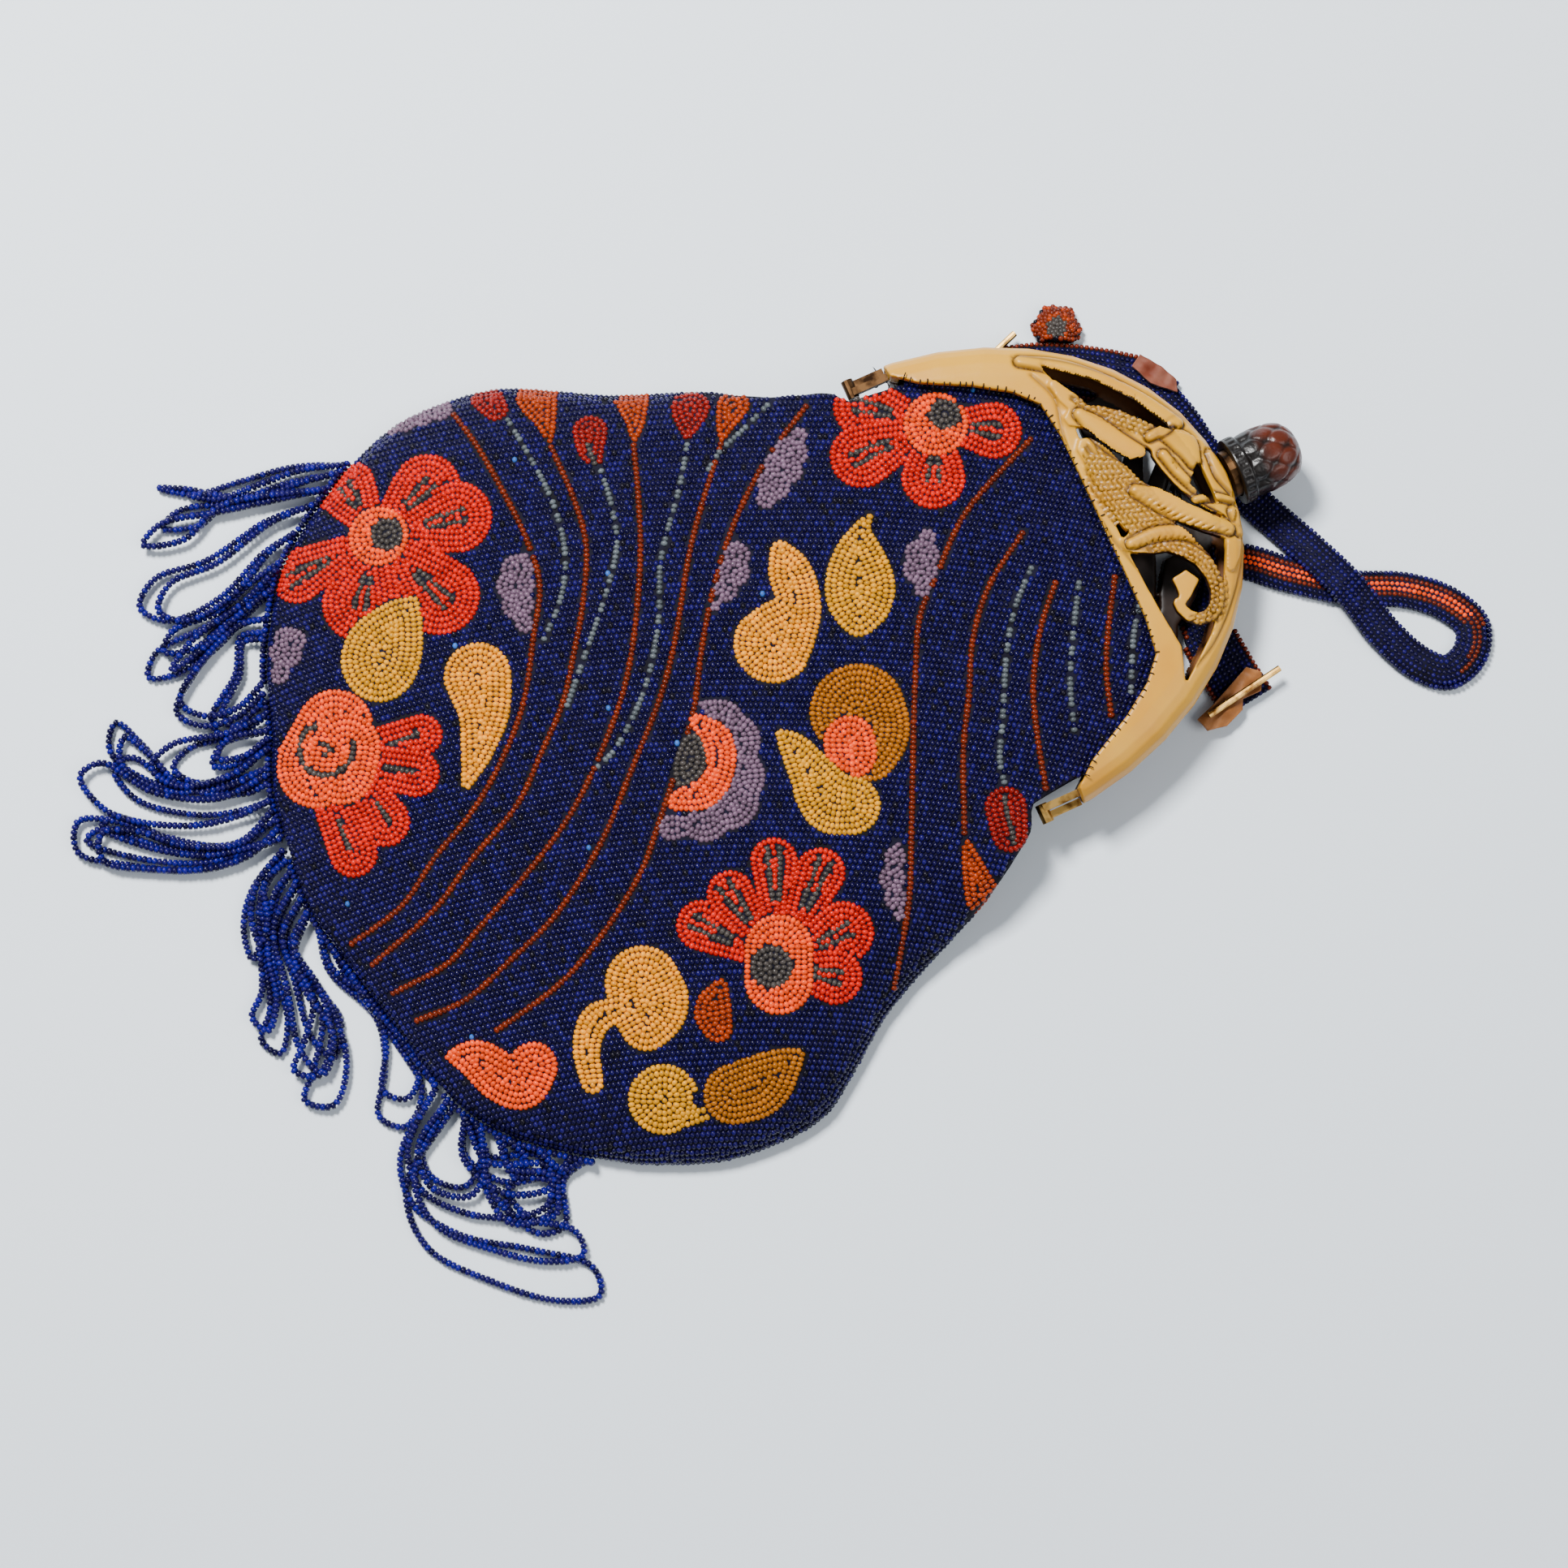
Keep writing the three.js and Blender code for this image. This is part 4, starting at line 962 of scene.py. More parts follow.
@dataclass
class Pattern:
    """The whole pattern of the bag, and the beads that it is made of."""

    layout: Layout
    pitch: float = 1.5
    spacing: float = 1.22
    clear: float = 1.05

    def __post_init__(self) -> None:
        """Lists the brushes in the order in which they cover each other."""
        self.brushes = [*stripes(), *buds(), *drops(), *blossoms()]

    def owners(self, chart: np.ndarray) -> np.ndarray:
        """Returns the number of the topmost shape at chart points, or -1 on the ground."""
        owner = np.full(len(chart), -1)
        for number, brush in enumerate(self.brushes):
            if not brush.is_line:
                owner[brush.depth(chart) > 0] = number
        return owner

    def beads(self) -> tuple[np.ndarray, np.ndarray, np.ndarray]:
        """Lays the pattern's beads.

        Returns:
            Their places (n, 2) in millimetres, the rows' directions and their tones.
        """
        unit = self.layout.chart_unit
        turn = np.array([self.layout.chart_across, self.layout.chart_down])
        places, alongs, tones, fillers = [], [], [], []
        for number, brush in reversed(list(enumerate(self.brushes))):
            found, along, loose = brush.rows(self.pitch / unit, self.spacing / unit)
            owner = self.owners(found)
            kept = owner < number if brush.is_line else owner == number
            places.append(self.layout.from_chart(found[kept]))
            alongs.append(along[kept] @ turn)
            tones.append(np.tile(linear(brush.tone.value), (kept.sum(), 1)))
            fillers.append(loose[kept])
        placed = np.concatenate(places)
        filler = np.concatenate(fillers)
        order = np.argsort(filler, kind="stable")
        least = np.where(filler[order], self.clear, self.clear * 0.75)
        kept = order[self.apart(placed[order], least)]
        return placed[kept], np.concatenate(alongs)[kept], np.concatenate(tones)[kept]

    @staticmethod
    def apart(places: np.ndarray, least: np.ndarray) -> np.ndarray:
        """Marks the places (n, 2) that keep their least distance (n) from those marked before."""
        size = float(least.max())
        kept = np.zeros(len(places), bool)
        cells: dict[tuple[int, int], list[tuple[float, float]]] = {}
        for number, (x, y) in enumerate(places.tolist()):
            i, j = int(x // size), int(y // size)
            gap = least[number] ** 2
            near = (p for k in (i - 1, i, i + 1) for m in (j - 1, j, j + 1) for p in cells.get((k, m), ()))
            if all((x - p[0]) ** 2 + (y - p[1]) ** 2 >= gap for p in near):
                kept[number] = True
                cells.setdefault((i, j), []).append((x, y))
        return kept

    def ground_tones(self, count: int, seed: int) -> np.ndarray:
        """Draws tones for the ground's beads."""
        rng = np.random.default_rng(seed)
        # The few pale blue beads among the ground are painted glints, painted highlights on the navy
        ground = np.array([linear(t.value) for t in (Tone.NAVY, Tone.INDIGO, Tone.SKY, Tone.SMOKE)])
        return ground[rng.choice(4, count, p=[0.66, 0.3, 0.001, 0.039])]

    def tones_at(self, places: np.ndarray, seed: int) -> np.ndarray:
        """Returns tones for any places (n, 2) in millimetres."""
        owner = self.owners(self.layout.to_chart(places))
        tones = self.ground_tones(len(places), seed)
        for number in np.unique(owner[owner >= 0]):
            tones[owner == number] = linear(self.brushes[number].tone.value)
        return tones


# Sub-assemblies


@dataclass
class Bag:
    """The beaded bag: cloth, rows of beads on both sides and rows round the edge."""

    layout: Layout
    finishes: Finishes
    row_pitch: float = 1.44
    bead_pitch: float = 1.26
    swirl_centre: tuple[float, float] = (950.0, 2554.0)
    rim_levels: tuple[float, ...] = (1.2, 2.5, 3.8, 5.1, 6.4)
    sunk: float = 0.1
    sunk_behind: float = 0.85
    steepest: float = 0.62
    drawn_size: float = 1.1
    arc_radii: tuple[float, float] = (195.0, 450.0)
    arc_turns: tuple[float, float] = (1.95, 3.3)
    above: float = 60.0
    beside: float = 12.0
    edge_reach: float = 18.0

    def build(self) -> np.ndarray:
        """Builds the bag and returns its outline, (n, 2) in millimetres."""
        node = bpy.data.objects["bag_body"]
        outline = self.outline(node)
        cloth = dressed_copy(node, "bag_cloth")
        apply_modifier(cloth, "WELD", merge_threshold=WELD * MM)
        apply_modifier(cloth, "SUBSURF", subdivision_type="SIMPLE", levels=2)
        apply_modifier(cloth, "SMOOTH", factor=0.5, iterations=7)
        surface = surface_of(cloth)
        finish_piece(cloth, self.finishes.ground, ("bag_body",))
        pattern = Pattern(self.layout)
        drawn = pattern.beads()
        ground = self.ground(pattern, drawn[0])
        for side, name in ((1, "bag_beads_front"), (-1, "bag_beads_back")):
            batch = BeadBatch(fine=side > 0, seed=11 + side)
            for (places, alongs, tones), size in ((drawn, self.drawn_size), (ground, 1.0)):
                self.lay_side(batch, surface, side, places, alongs, tones, size)
            if side > 0:
                self.lay_rim(batch, surface, outline, pattern)
            for piece in batch.build(self.layout, name):
                finish_piece(piece, self.finishes.beads)
        return outline

    def outline(self, node: bpy.types.Object) -> np.ndarray:
        """Reads the outline below the hinge line off the CAD bag's rings."""
        places = self.layout.from_frame(vertices_of(node))
        levels = np.round(places[:, 1], 1)
        left, right = [], []
        for level in np.unique(levels)[::-1]:
            ring = places[levels == level]
            width = np.ptp(ring[:, 0])
            if level < -4 and len(ring) > 12 and width > 8:
                left.append([ring[:, 0].min(), level])
                right.append([ring[:, 0].max(), level])
        return np.array(left + right[::-1])

    def ground(self, pattern: Pattern, drawn: np.ndarray) -> tuple[np.ndarray, np.ndarray, np.ndarray]:
        """Lays arcs of ground beads wherever the pattern leaves room.

        Args:
            pattern: The pattern.
            drawn: The places of its beads (n, 2).

        Returns:
            Places (n, 2) in millimetres, the rows' directions and tones.
        """
        centre = self.layout.from_chart(np.array([self.swirl_centre]))[0]
        places, alongs = [], []
        for number, radius in enumerate(np.arange(*self.arc_radii, self.row_pitch)):
            step = self.bead_pitch / radius
            turns = np.arange(*self.arc_turns, step) + (number % 2) * step / 2
            spokes = np.stack([np.cos(turns), np.sin(turns)], axis=1)
            places.append(centre + radius * spokes)
            alongs.append(np.stack([-spokes[:, 1], spokes[:, 0]], axis=1))
        places = np.concatenate(places)
        alongs = np.concatenate(alongs)
        free = pattern.owners(self.layout.to_chart(places)) < 0
        first = len(drawn)
        both = np.concatenate([drawn, places[free]])
        tree = KDTree(first)
        for number, (x, y) in enumerate(drawn):
            tree.insert((x, y, 0.0), number)
        tree.balance()
        room = np.array([tree.find((x, y, 0.0))[2] > pattern.clear for x, y in both[first:]])
        places, alongs = places[free][room], alongs[free][room]
        return places, alongs, pattern.ground_tones(len(places), 5)

    def lay_side(
        self,
        batch: BeadBatch,
        surface: BVHTree,
        side: int,
        places: np.ndarray,
        alongs: np.ndarray,
        tones: np.ndarray,
        size: float,
    ) -> None:
        """Lays beads of a size on the front (side 1) or the back (side -1) of the cloth."""
        levels = np.full(len(places), side * self.above)
        starts = self.layout.to_frame(np.column_stack([places, levels]))
        kept, hits, normals = [], [], []
        for number, start in enumerate(starts):
            hit, normal, _, _ = surface.ray_cast(Vector(start), Vector((0, 0, -side)))
            if hit is None or normal.z * side < self.steepest:
                continue
            kept.append(number)
            hits.append(hit)
            normals.append(normal)
        points = self.layout.from_frame(np.array(hits, float))
        out = np.array(normals, float)
        direction = np.column_stack([alongs[kept], np.zeros(len(kept))])
        sunk = self.sunk if side > 0 else self.sunk_behind
        batch.lay(points - out * sunk, direction, out, tones[kept], size)

    def lay_rim(self, batch: BeadBatch, surface: BVHTree, outline: np.ndarray, pattern: Pattern) -> None:
        """Lays rows that follow the edge, one above another."""
        places, alongs, _ = even_steps(spline(outline, 3), self.bead_pitch)
        outward = np.column_stack([-alongs[:, 1], alongs[:, 0]])
        outward *= np.sign(np.sum(outward * (places - places.mean(axis=0)), axis=1, keepdims=True))
        for level in self.rim_levels:
            levels = np.full(len(places), level)
            starts = self.layout.to_frame(np.column_stack([places + outward * self.beside, levels]))
            kept, hits, normals = [], [], []
            for number, start in enumerate(starts):
                ray = Vector((*-outward[number], 0.0))
                hit, normal, _, distance = surface.ray_cast(Vector(start), ray)
                if hit is None or distance > self.edge_reach * MM or normal.z > self.steepest + 0.1:
                    continue
                kept.append(number)
                hits.append(hit)
                normals.append(normal)
            points = self.layout.from_frame(np.array(hits, float))
            out = np.array(normals, float)
            direction = np.column_stack([alongs[kept], np.zeros(len(kept))])
            batch.lay(points - out * self.sunk, direction, out, pattern.tones_at(points[:, :2], 6))


@dataclass
class Fringe:
    """Looped strings of beads along the hem, in four groups."""

    layout: Layout
    finishes: Finishes
    outline: np.ndarray
    root_height: float = 2.6
    string_height: float = 1.05
    crossing_lift: float = 0.8
    spacing: float = 1.28
    strip_gap: float = 1.4
    hem_top: float = -106.0
    hem_rows: tuple[float, float] = (1.7, 3.1)
    hem_bead_size: float = 0.9

    def routes(self) -> dict[str, list[list[tuple[float, float]]]]:
        """Returns each group's strings: places in millimetres, from hem to hem."""
        return {
            "fringe_upper": [
                [(-94, -122), (-99, -134), (-101, -147), (-103, -160), (-108, -167), (-103, -158),
                 (-98, -154), (-96, -138), (-92, -124)],
                [(-90, -129), (-93, -142), (-96, -156), (-99, -170), (-96, -176), (-93, -166), (-97, -155),
                 (-94, -132)],
                [(-87, -133), (-89, -145), (-86, -163), (-87, -177), (-82, -183), (-76, -178), (-76, -164),
                 (-82, -149), (-83, -139)],
                [(-77, -144), (-76, -156), (-71, -169), (-70, -184), (-65, -188), (-63, -179), (-68, -165),
                 (-74, -149)],
                [(-76, -147), (-72, -160), (-69, -174), (-64, -182), (-66, -172), (-70, -161), (-71, -150)],
                [(-66, -154), (-68, -163), (-62, -176), (-54, -185), (-48, -180), (-47, -171), (-50, -163)],
                [(-63, -156), (-65, -163), (-57, -168), (-49, -178), (-44, -177), (-46, -168), (-48, -164)],
            ],
            "fringe_middle": [
                [(-45, -165), (-44, -176), (-47, -189), (-44, -196), (-37, -192), (-34, -179), (-36, -167)],
                [(-41, -166), (-42, -178), (-38, -182), (-36, -175), (-38, -166)],
                [(-31, -168), (-33, -182), (-40, -197), (-52, -204), (-58, -200), (-50, -196), (-38, -192),
                 (-29, -178), (-27, -170)],
                [(-29, -169), (-30, -184), (-38, -198), (-50, -207), (-49, -213), (-38, -210), (-27, -194),
                 (-24, -182), (-24, -172)],
                [(-21, -172), (-18, -184), (-25, -199), (-35, -209), (-39, -218), (-32, -221), (-24, -211),
                 (-16, -196), (-14, -184), (-16, -174)],
                [(-19, -173), (-17, -186), (-25, -202), (-35, -213), (-34, -218), (-26, -210), (-17, -194),
                 (-14, -174)],
            ],
            "fringe_lower": [
                [(-13, -179), (-6, -185), (2, -191), (10, -192), (5, -187), (-5, -183), (-10, -178)],
                [(-12, -178), (-3, -184), (9, -189), (23, -193), (29, -198), (34, -195), (27, -190),
                 (14, -188), (-1, -181), (-6, -176)],
                [(-4, -175), (5, -184), (20, -187), (36, -190), (43, -187), (35, -181), (23, -183), (8, -183),
                 (3, -176)],
                [(5, -174), (12, -182), (28, -179), (43, -181), (51, -188), (47, -194), (41, -189),
                 (30, -182), (15, -183), (6, -176)],
                [(10, -173), (20, -176), (36, -170), (48, -173), (58, -179), (63, -174), (57, -167),
                 (43, -168), (27, -172), (15, -173)],
                [(23, -171), (33, -170), (42, -166), (50, -164), (56, -161)],
            ],
            "fringe_bundle": [
                [(57, -166), (69, -178), (81, -180), (93, -172), (103, -158), (113, -146), (120, -147),
                 (117, -157), (106, -170), (92, -181), (77, -180), (65, -167)],
                [(62, -164), (69, -173), (79, -174), (85, -166), (79, -159), (70, -159)],
                [(71, -157), (84, -162), (95, -160), (97, -151), (90, -147), (84, -155), (75, -154)],
                [(76, -153), (83, -151), (90, -159), (100, -155), (101, -148), (91, -144), (86, -137)],
                [(68, -162), (79, -159), (86, -146), (91, -147), (88, -158), (76, -164), (69, -165)],
                [(79, -145), (89, -143), (89, -137), (86, -133)],
            ],
        }

    def hem_places(self) -> np.ndarray:
        """Returns the hem line a little outside the bag, (n, 2)."""
        line_points = spline(self.outline, 4)
        along = np.gradient(line_points, axis=0)
        outward = np.column_stack([along[:, 1], -along[:, 0]])
        outward /= np.linalg.norm(outward, axis=1, keepdims=True)
        outward *= np.sign(np.sum(outward * (line_points - line_points.mean(axis=0)), axis=1, keepdims=True))
        return line_points + outward * self.strip_gap

    def build(self) -> None:
        """Builds the four groups, each with its stretch of hem beads."""
        hem = self.hem_places()
        low = hem[hem[:, 1] < self.hem_top]
        low = low[np.argsort(low[:, 0])]
        spans = {
            "fringe_upper": (-94.5, -50.0),
            "fringe_middle": (-49.0, -12.0),
            "fringe_lower": (-10.0, 58.0),
            "fringe_bundle": (59.0, 90.0),
        }
        for number, (name, strings) in enumerate(self.routes().items()):
            batch = BeadBatch(Bead(0.8, 1.02, 0.98), seed=30 + number)
            for order, string in enumerate(strings):
                for twin in range(2):
                    route = self.twin_route(np.array(string, float), twin, order)
                    self.string_beads(batch, route, hem, number * 20 + order * 2 + twin)
            start, end = spans[name]
            stretch = low[(low[:, 0] > start) & (low[:, 0] < end)]
            for height in self.hem_rows:
                self.hem_beads(batch, stretch, height, number)
            pieces = batch.build(self.layout, f"{name}_beads")
            for piece in pieces:
                finish_piece(piece, self.finishes.beads, (name,))

    @staticmethod
    def twin_route(string: np.ndarray, twin: int, order: int) -> np.ndarray:
        """Returns a string's route, or that of a shorter string imagined beside it.

        Args:
            string: The route as listed (n, 2).
            twin: 0 for the route itself and 1 for its neighbour.
            order: The string's number in its group.
        """
        if not twin:
            return string
        root = (string[0] + string[-1]) / 2
        turn = math.radians(4.0 if order % 2 else -4.0)
        matrix = np.array([[math.cos(turn), -math.sin(turn)], [math.sin(turn), math.cos(turn)]])
        return root + (string - root) * (0.84 + 0.04 * (order % 3)) @ matrix

    def string_beads(self, batch: BeadBatch, string: np.ndarray, hem: np.ndarray, seed: int) -> None:
        """Strings beads along one loop from hem to hem."""
        route = string.copy()
        for end in (0, -1):
            route[end] = hem[np.argmin(np.linalg.norm(hem - route[end], axis=1))]
        heights = np.full(len(route), self.string_height)
        heights[[0, -1]] = self.root_height
        curve = spline(np.column_stack([route, heights]), 10)
        curve[:, 2] = np.maximum(curve[:, 2], self.string_height) + self.crossing_lift * (seed % 3)
        places, alongs, _ = even_steps(curve, self.spacing)
        batch.lay(places, alongs, self.level_normals(alongs), self.tones(len(places), seed))

    def hem_beads(self, batch: BeadBatch, stretch: np.ndarray, height: float, seed: int) -> None:
        """Lays one row of beads along a stretch of the hem."""
        places, alongs, _ = even_steps(
            np.column_stack([stretch, np.full(len(stretch), height)]), self.spacing
        )
        tones = self.tones(len(places), seed)
        batch.lay(places, alongs, self.level_normals(alongs), tones, self.hem_bead_size)

    @staticmethod
    def level_normals(alongs: np.ndarray) -> np.ndarray:
        """Returns upward directions square to the strings."""
        up = np.tile([0.0, 0.0, 1.0], (len(alongs), 1))
        up -= alongs * alongs[:, 2:3]
        return up / np.linalg.norm(up, axis=1, keepdims=True)

    @staticmethod
    def tones(count: int, seed: int) -> np.ndarray:
        """Draws the strings' blue tones."""
        rng = np.random.default_rng(50 + seed)
        choice = np.array([linear(t.value) for t in (Tone.INDIGO, Tone.COBALT, Tone.NAVY)])
        return choice[rng.choice(3, count, p=[0.5, 0.35, 0.15])]


class Cut(Enum):
    """How a stretch of the frame is moulded."""

    PLATE = "plate"
    FEATHER = "feather"
    SCALES = "scales"
    GROOVE = "groove"


@dataclass(frozen=True)
class Relief:
    """One moulded stretch: its spine of (x, y, half width) in chart units."""

    cut: Cut
    spine: tuple[tuple[float, float, float], ...]


@dataclass
class CarvedFrame:
    """The two moulded halves: the dragon's scales, limbs and feathers are worked into copies."""

    layout: Layout
    finishes: Finishes
    half_width: float = FRAME_HALF_WIDTH
    height: float = FRAME_HEIGHT
    voxel: float = 0.42
    voxel_behind: float = 0.5
    groove: float = 0.45
    rise: float = 0.9
    scale_size: float = 1.5
    bar_top: float = 46.0
    bar_rise: float = 3.4
    bar_half: float = 43.0
    window_rim: float = 0.91

    def reliefs(self) -> list[Relief]:
        """Returns the moulded stretches of the dragon and its leaves."""
        return [
            Relief(Cut.SCALES, ((1322, 500, 8), (1345, 512, 13), (1380, 524, 16), (1415, 536, 14))),
            Relief(Cut.SCALES, ((1342, 568, 13), (1360, 598, 26), (1388, 632, 31), (1412, 662, 28))),
            Relief(Cut.SCALES, ((1414, 684, 9), (1448, 683, 12), (1480, 700, 13), (1495, 735, 12),
                                (1488, 765, 11), (1462, 774, 8))),
            Relief(Cut.PLATE, ((1326, 520, 7), (1345, 535, 13), (1370, 556, 15), (1398, 572, 13))),
            Relief(Cut.PLATE, ((1432, 542, 11), (1455, 556, 16), (1466, 578, 9))),
            Relief(Cut.PLATE, ((1428, 570, 6), (1446, 592, 6), (1466, 612, 5))),
            Relief(Cut.PLATE, ((1412, 548, 6), (1430, 538, 7), (1446, 526, 5))),
            Relief(Cut.FEATHER, ((1394, 615, 8), (1430, 628, 16), (1470, 646, 15), (1508, 660, 8))),
            Relief(Cut.FEATHER, ((1388, 680, 7), (1420, 668, 9), (1458, 668, 8), (1486, 686, 6))),
            Relief(Cut.PLATE, ((1488, 566, 6), (1505, 590, 13), (1522, 616, 6))),
            Relief(Cut.PLATE, ((1466, 626, 5), (1490, 621, 5), (1512, 624, 4))),
            Relief(Cut.PLATE, ((1516, 638, 8), (1523, 662, 6))),
            Relief(Cut.PLATE, ((1255, 452, 7), (1300, 458, 10), (1345, 474, 12), (1400, 500, 11),
                               (1448, 528, 7))),
            Relief(Cut.GROOVE, ((1268, 470, 2), (1296, 500, 2), (1306, 545, 2), (1330, 610, 2),
                                (1362, 668, 2), (1402, 716, 2), (1436, 764, 2), (1462, 806, 2),
                                (1468, 826, 2))),
            Relief(Cut.GROOVE, ((1246, 446, 2), (1330, 460, 2), (1420, 496, 2), (1480, 540, 2),
                                (1520, 600, 2), (1530, 670, 2), (1516, 740, 2), (1490, 800, 2),
                                (1468, 828, 2))),
        ]

    def build(self) -> None:
        """Builds both halves."""
        # The back half takes the darker copy of the celluloid, which is painted shade
        for name, side, material in (
            ("frame_front", 1, self.finishes.ivory),
            ("frame_back", -1, self.finishes.shaded),
        ):
            piece = dressed_copy(bpy.data.objects[name], f"{name}_carved")
            apply_modifier(piece, "WELD", merge_threshold=WELD * MM)
            voxel = self.voxel if side > 0 else self.voxel_behind
            apply_modifier(piece, "REMESH", mode="VOXEL", voxel_size=voxel * MM)
            apply_modifier(piece, "SMOOTH", factor=0.5, iterations=3)
            apply_modifier(piece, "SHRINKWRAP", target=bpy.data.objects[name])
            apply_modifier(piece, "SMOOTH", factor=0.5, iterations=4)
            self.carve(piece, side)
            finish_piece(piece, material, (name,))
            smooth_shaded(piece, 60.0)

    def carve(self, piece: bpy.types.Object, side: int) -> None:
        """Raises and cuts the outer face, and paints brown wash and painted shade into its gaps, recesses and
        openwork walls.

        Args:
            piece: The remeshed half.
            side: 1 for the front half and -1 for the back one.
        """
        places = vertices_of(piece)
        normals = normals_of(piece)
        local = self.layout.from_frame(places)
        outer = np.clip(normals[:, 2] * side * 2.0 - 0.4, 0, 1)
        mirrored = local[:, :2] * [side, 1]
        chart = self.layout.to_chart(mirrored)
        height = np.zeros(len(places))
        # Brown wash with painted shade, gathered from the gaps and grooves of each stretch
        wash_and_shade = np.zeros(len(places))
        for relief in self.reliefs():
            lift, shade = self.work(relief, chart)
            height = np.where(np.abs(lift) > np.abs(height), lift, height)
            wash_and_shade = np.maximum(wash_and_shade * np.where(lift > 0.2, 0.3, 1.0), shade)
        set_vertices(piece, places + normals * (height * outer * MM)[:, None])
        rho = np.hypot(mirrored[:, 0] / self.half_width, mirrored[:, 1] / self.height)
        bar = self.bar_top + self.bar_rise * (mirrored[:, 0] / self.bar_half) ** 2
        window = (rho < self.window_rim) & (mirrored[:, 1] > bar)
        tops = local[:, 2] * side
        crown = np.percentile(tops, 99)
        # Painted shade: darker the deeper a place lies below the crown inside the openwork, and dark on the
        # openwork's side walls
        recess_shade = np.clip((crown - 0.2 - tops) / 1.6, 0, 1) * window
        wall_shade = (1 - outer) * window
        shade = np.clip(wash_and_shade * outer + 0.5 * recess_shade + 0.85 * wall_shade, 0, 1)
        paint(piece.data, np.repeat(shade[:, None], 3, axis=1), PAINTED_LIGHT_AND_WASH)

    def work(self, relief: Relief, chart: np.ndarray) -> tuple[np.ndarray, np.ndarray]:
        """Measures one stretch at chart points.

        Args:
            relief: The stretch.
            chart: The points (n, 2).

        Returns:
            How far each point rises in millimetres, and how dark it is painted: brown wash together with
            painted shade in the gaps and grooves.
        """
        unit = self.layout.chart_unit
        best = np.full(len(chart), 1e9)
        along = np.zeros(len(chart))
        across = np.zeros(len(chart))
        reach = np.ones(len(chart))
        walked = 0.0
        curve = smooth_spine(relief.spine)
        for a, b in zip(curve, curve[1:]):
            span = b[:2] - a[:2]
            length = np.hypot(*span)
            offset = chart - a[:2]
            share = np.clip(offset @ span / length**2, 0, 1)
            gap = np.linalg.norm(offset - share[:, None] * span, axis=1)
            nearer = gap < best
            best = np.where(nearer, gap, best)
            along = np.where(nearer, walked + share * length, along)
            across = np.where(nearer, (span[0] * offset[:, 1] - span[1] * offset[:, 0]) / length, across)
            reach = np.where(nearer, a[2] + share * (b[2] - a[2]), reach)
            walked += length
        best, along, across, reach = best * unit, along * unit, across * unit, reach * unit
        inside = np.clip((reach - best) / 0.25 + 0.5, 0, 1)
        edge = np.exp(-(((best - reach - 0.3) / 0.42) ** 2))
        dome = np.sqrt(np.clip(1 - (best / (reach + 0.05)) ** 2, 0, 1))
        # The second value is brown wash with painted shade: dark along plate edges, feather notches, grooves
        # and the gaps between scales
        if relief.cut is Cut.PLATE:
            return inside * dome * self.rise - edge * self.groove, edge
        if relief.cut is Cut.FEATHER:
            barbs = np.abs(((along + np.abs(across) * 0.7) / 1.7) % 1 - 0.5) * 2
            notch = inside * np.clip(1 - barbs * 2.2, 0, 1) * np.clip(across / reach * 1.4, 0, 1)
            lift = inside * dome * self.rise - notch * self.groove * 1.5 - edge * self.groove
            return lift, np.maximum(edge, notch * 0.8)
        if relief.cut is Cut.GROOVE:
            line_depth = np.exp(-((best / 0.45) ** 2))
            return -line_depth * self.groove, line_depth * 0.6
        row = across / (self.scale_size * 0.8)
        column = along / self.scale_size + (np.floor(row) % 2) * 0.5
        bump = np.hypot(column % 1 - 0.5, (row % 1 - 0.5) * 0.9)
        gap_line = np.clip((bump - 0.3) / 0.2, 0, 1)
        return inside * (0.25 * (1 - gap_line) - 0.35 * gap_line), inside * (0.3 + 0.45 * gap_line)


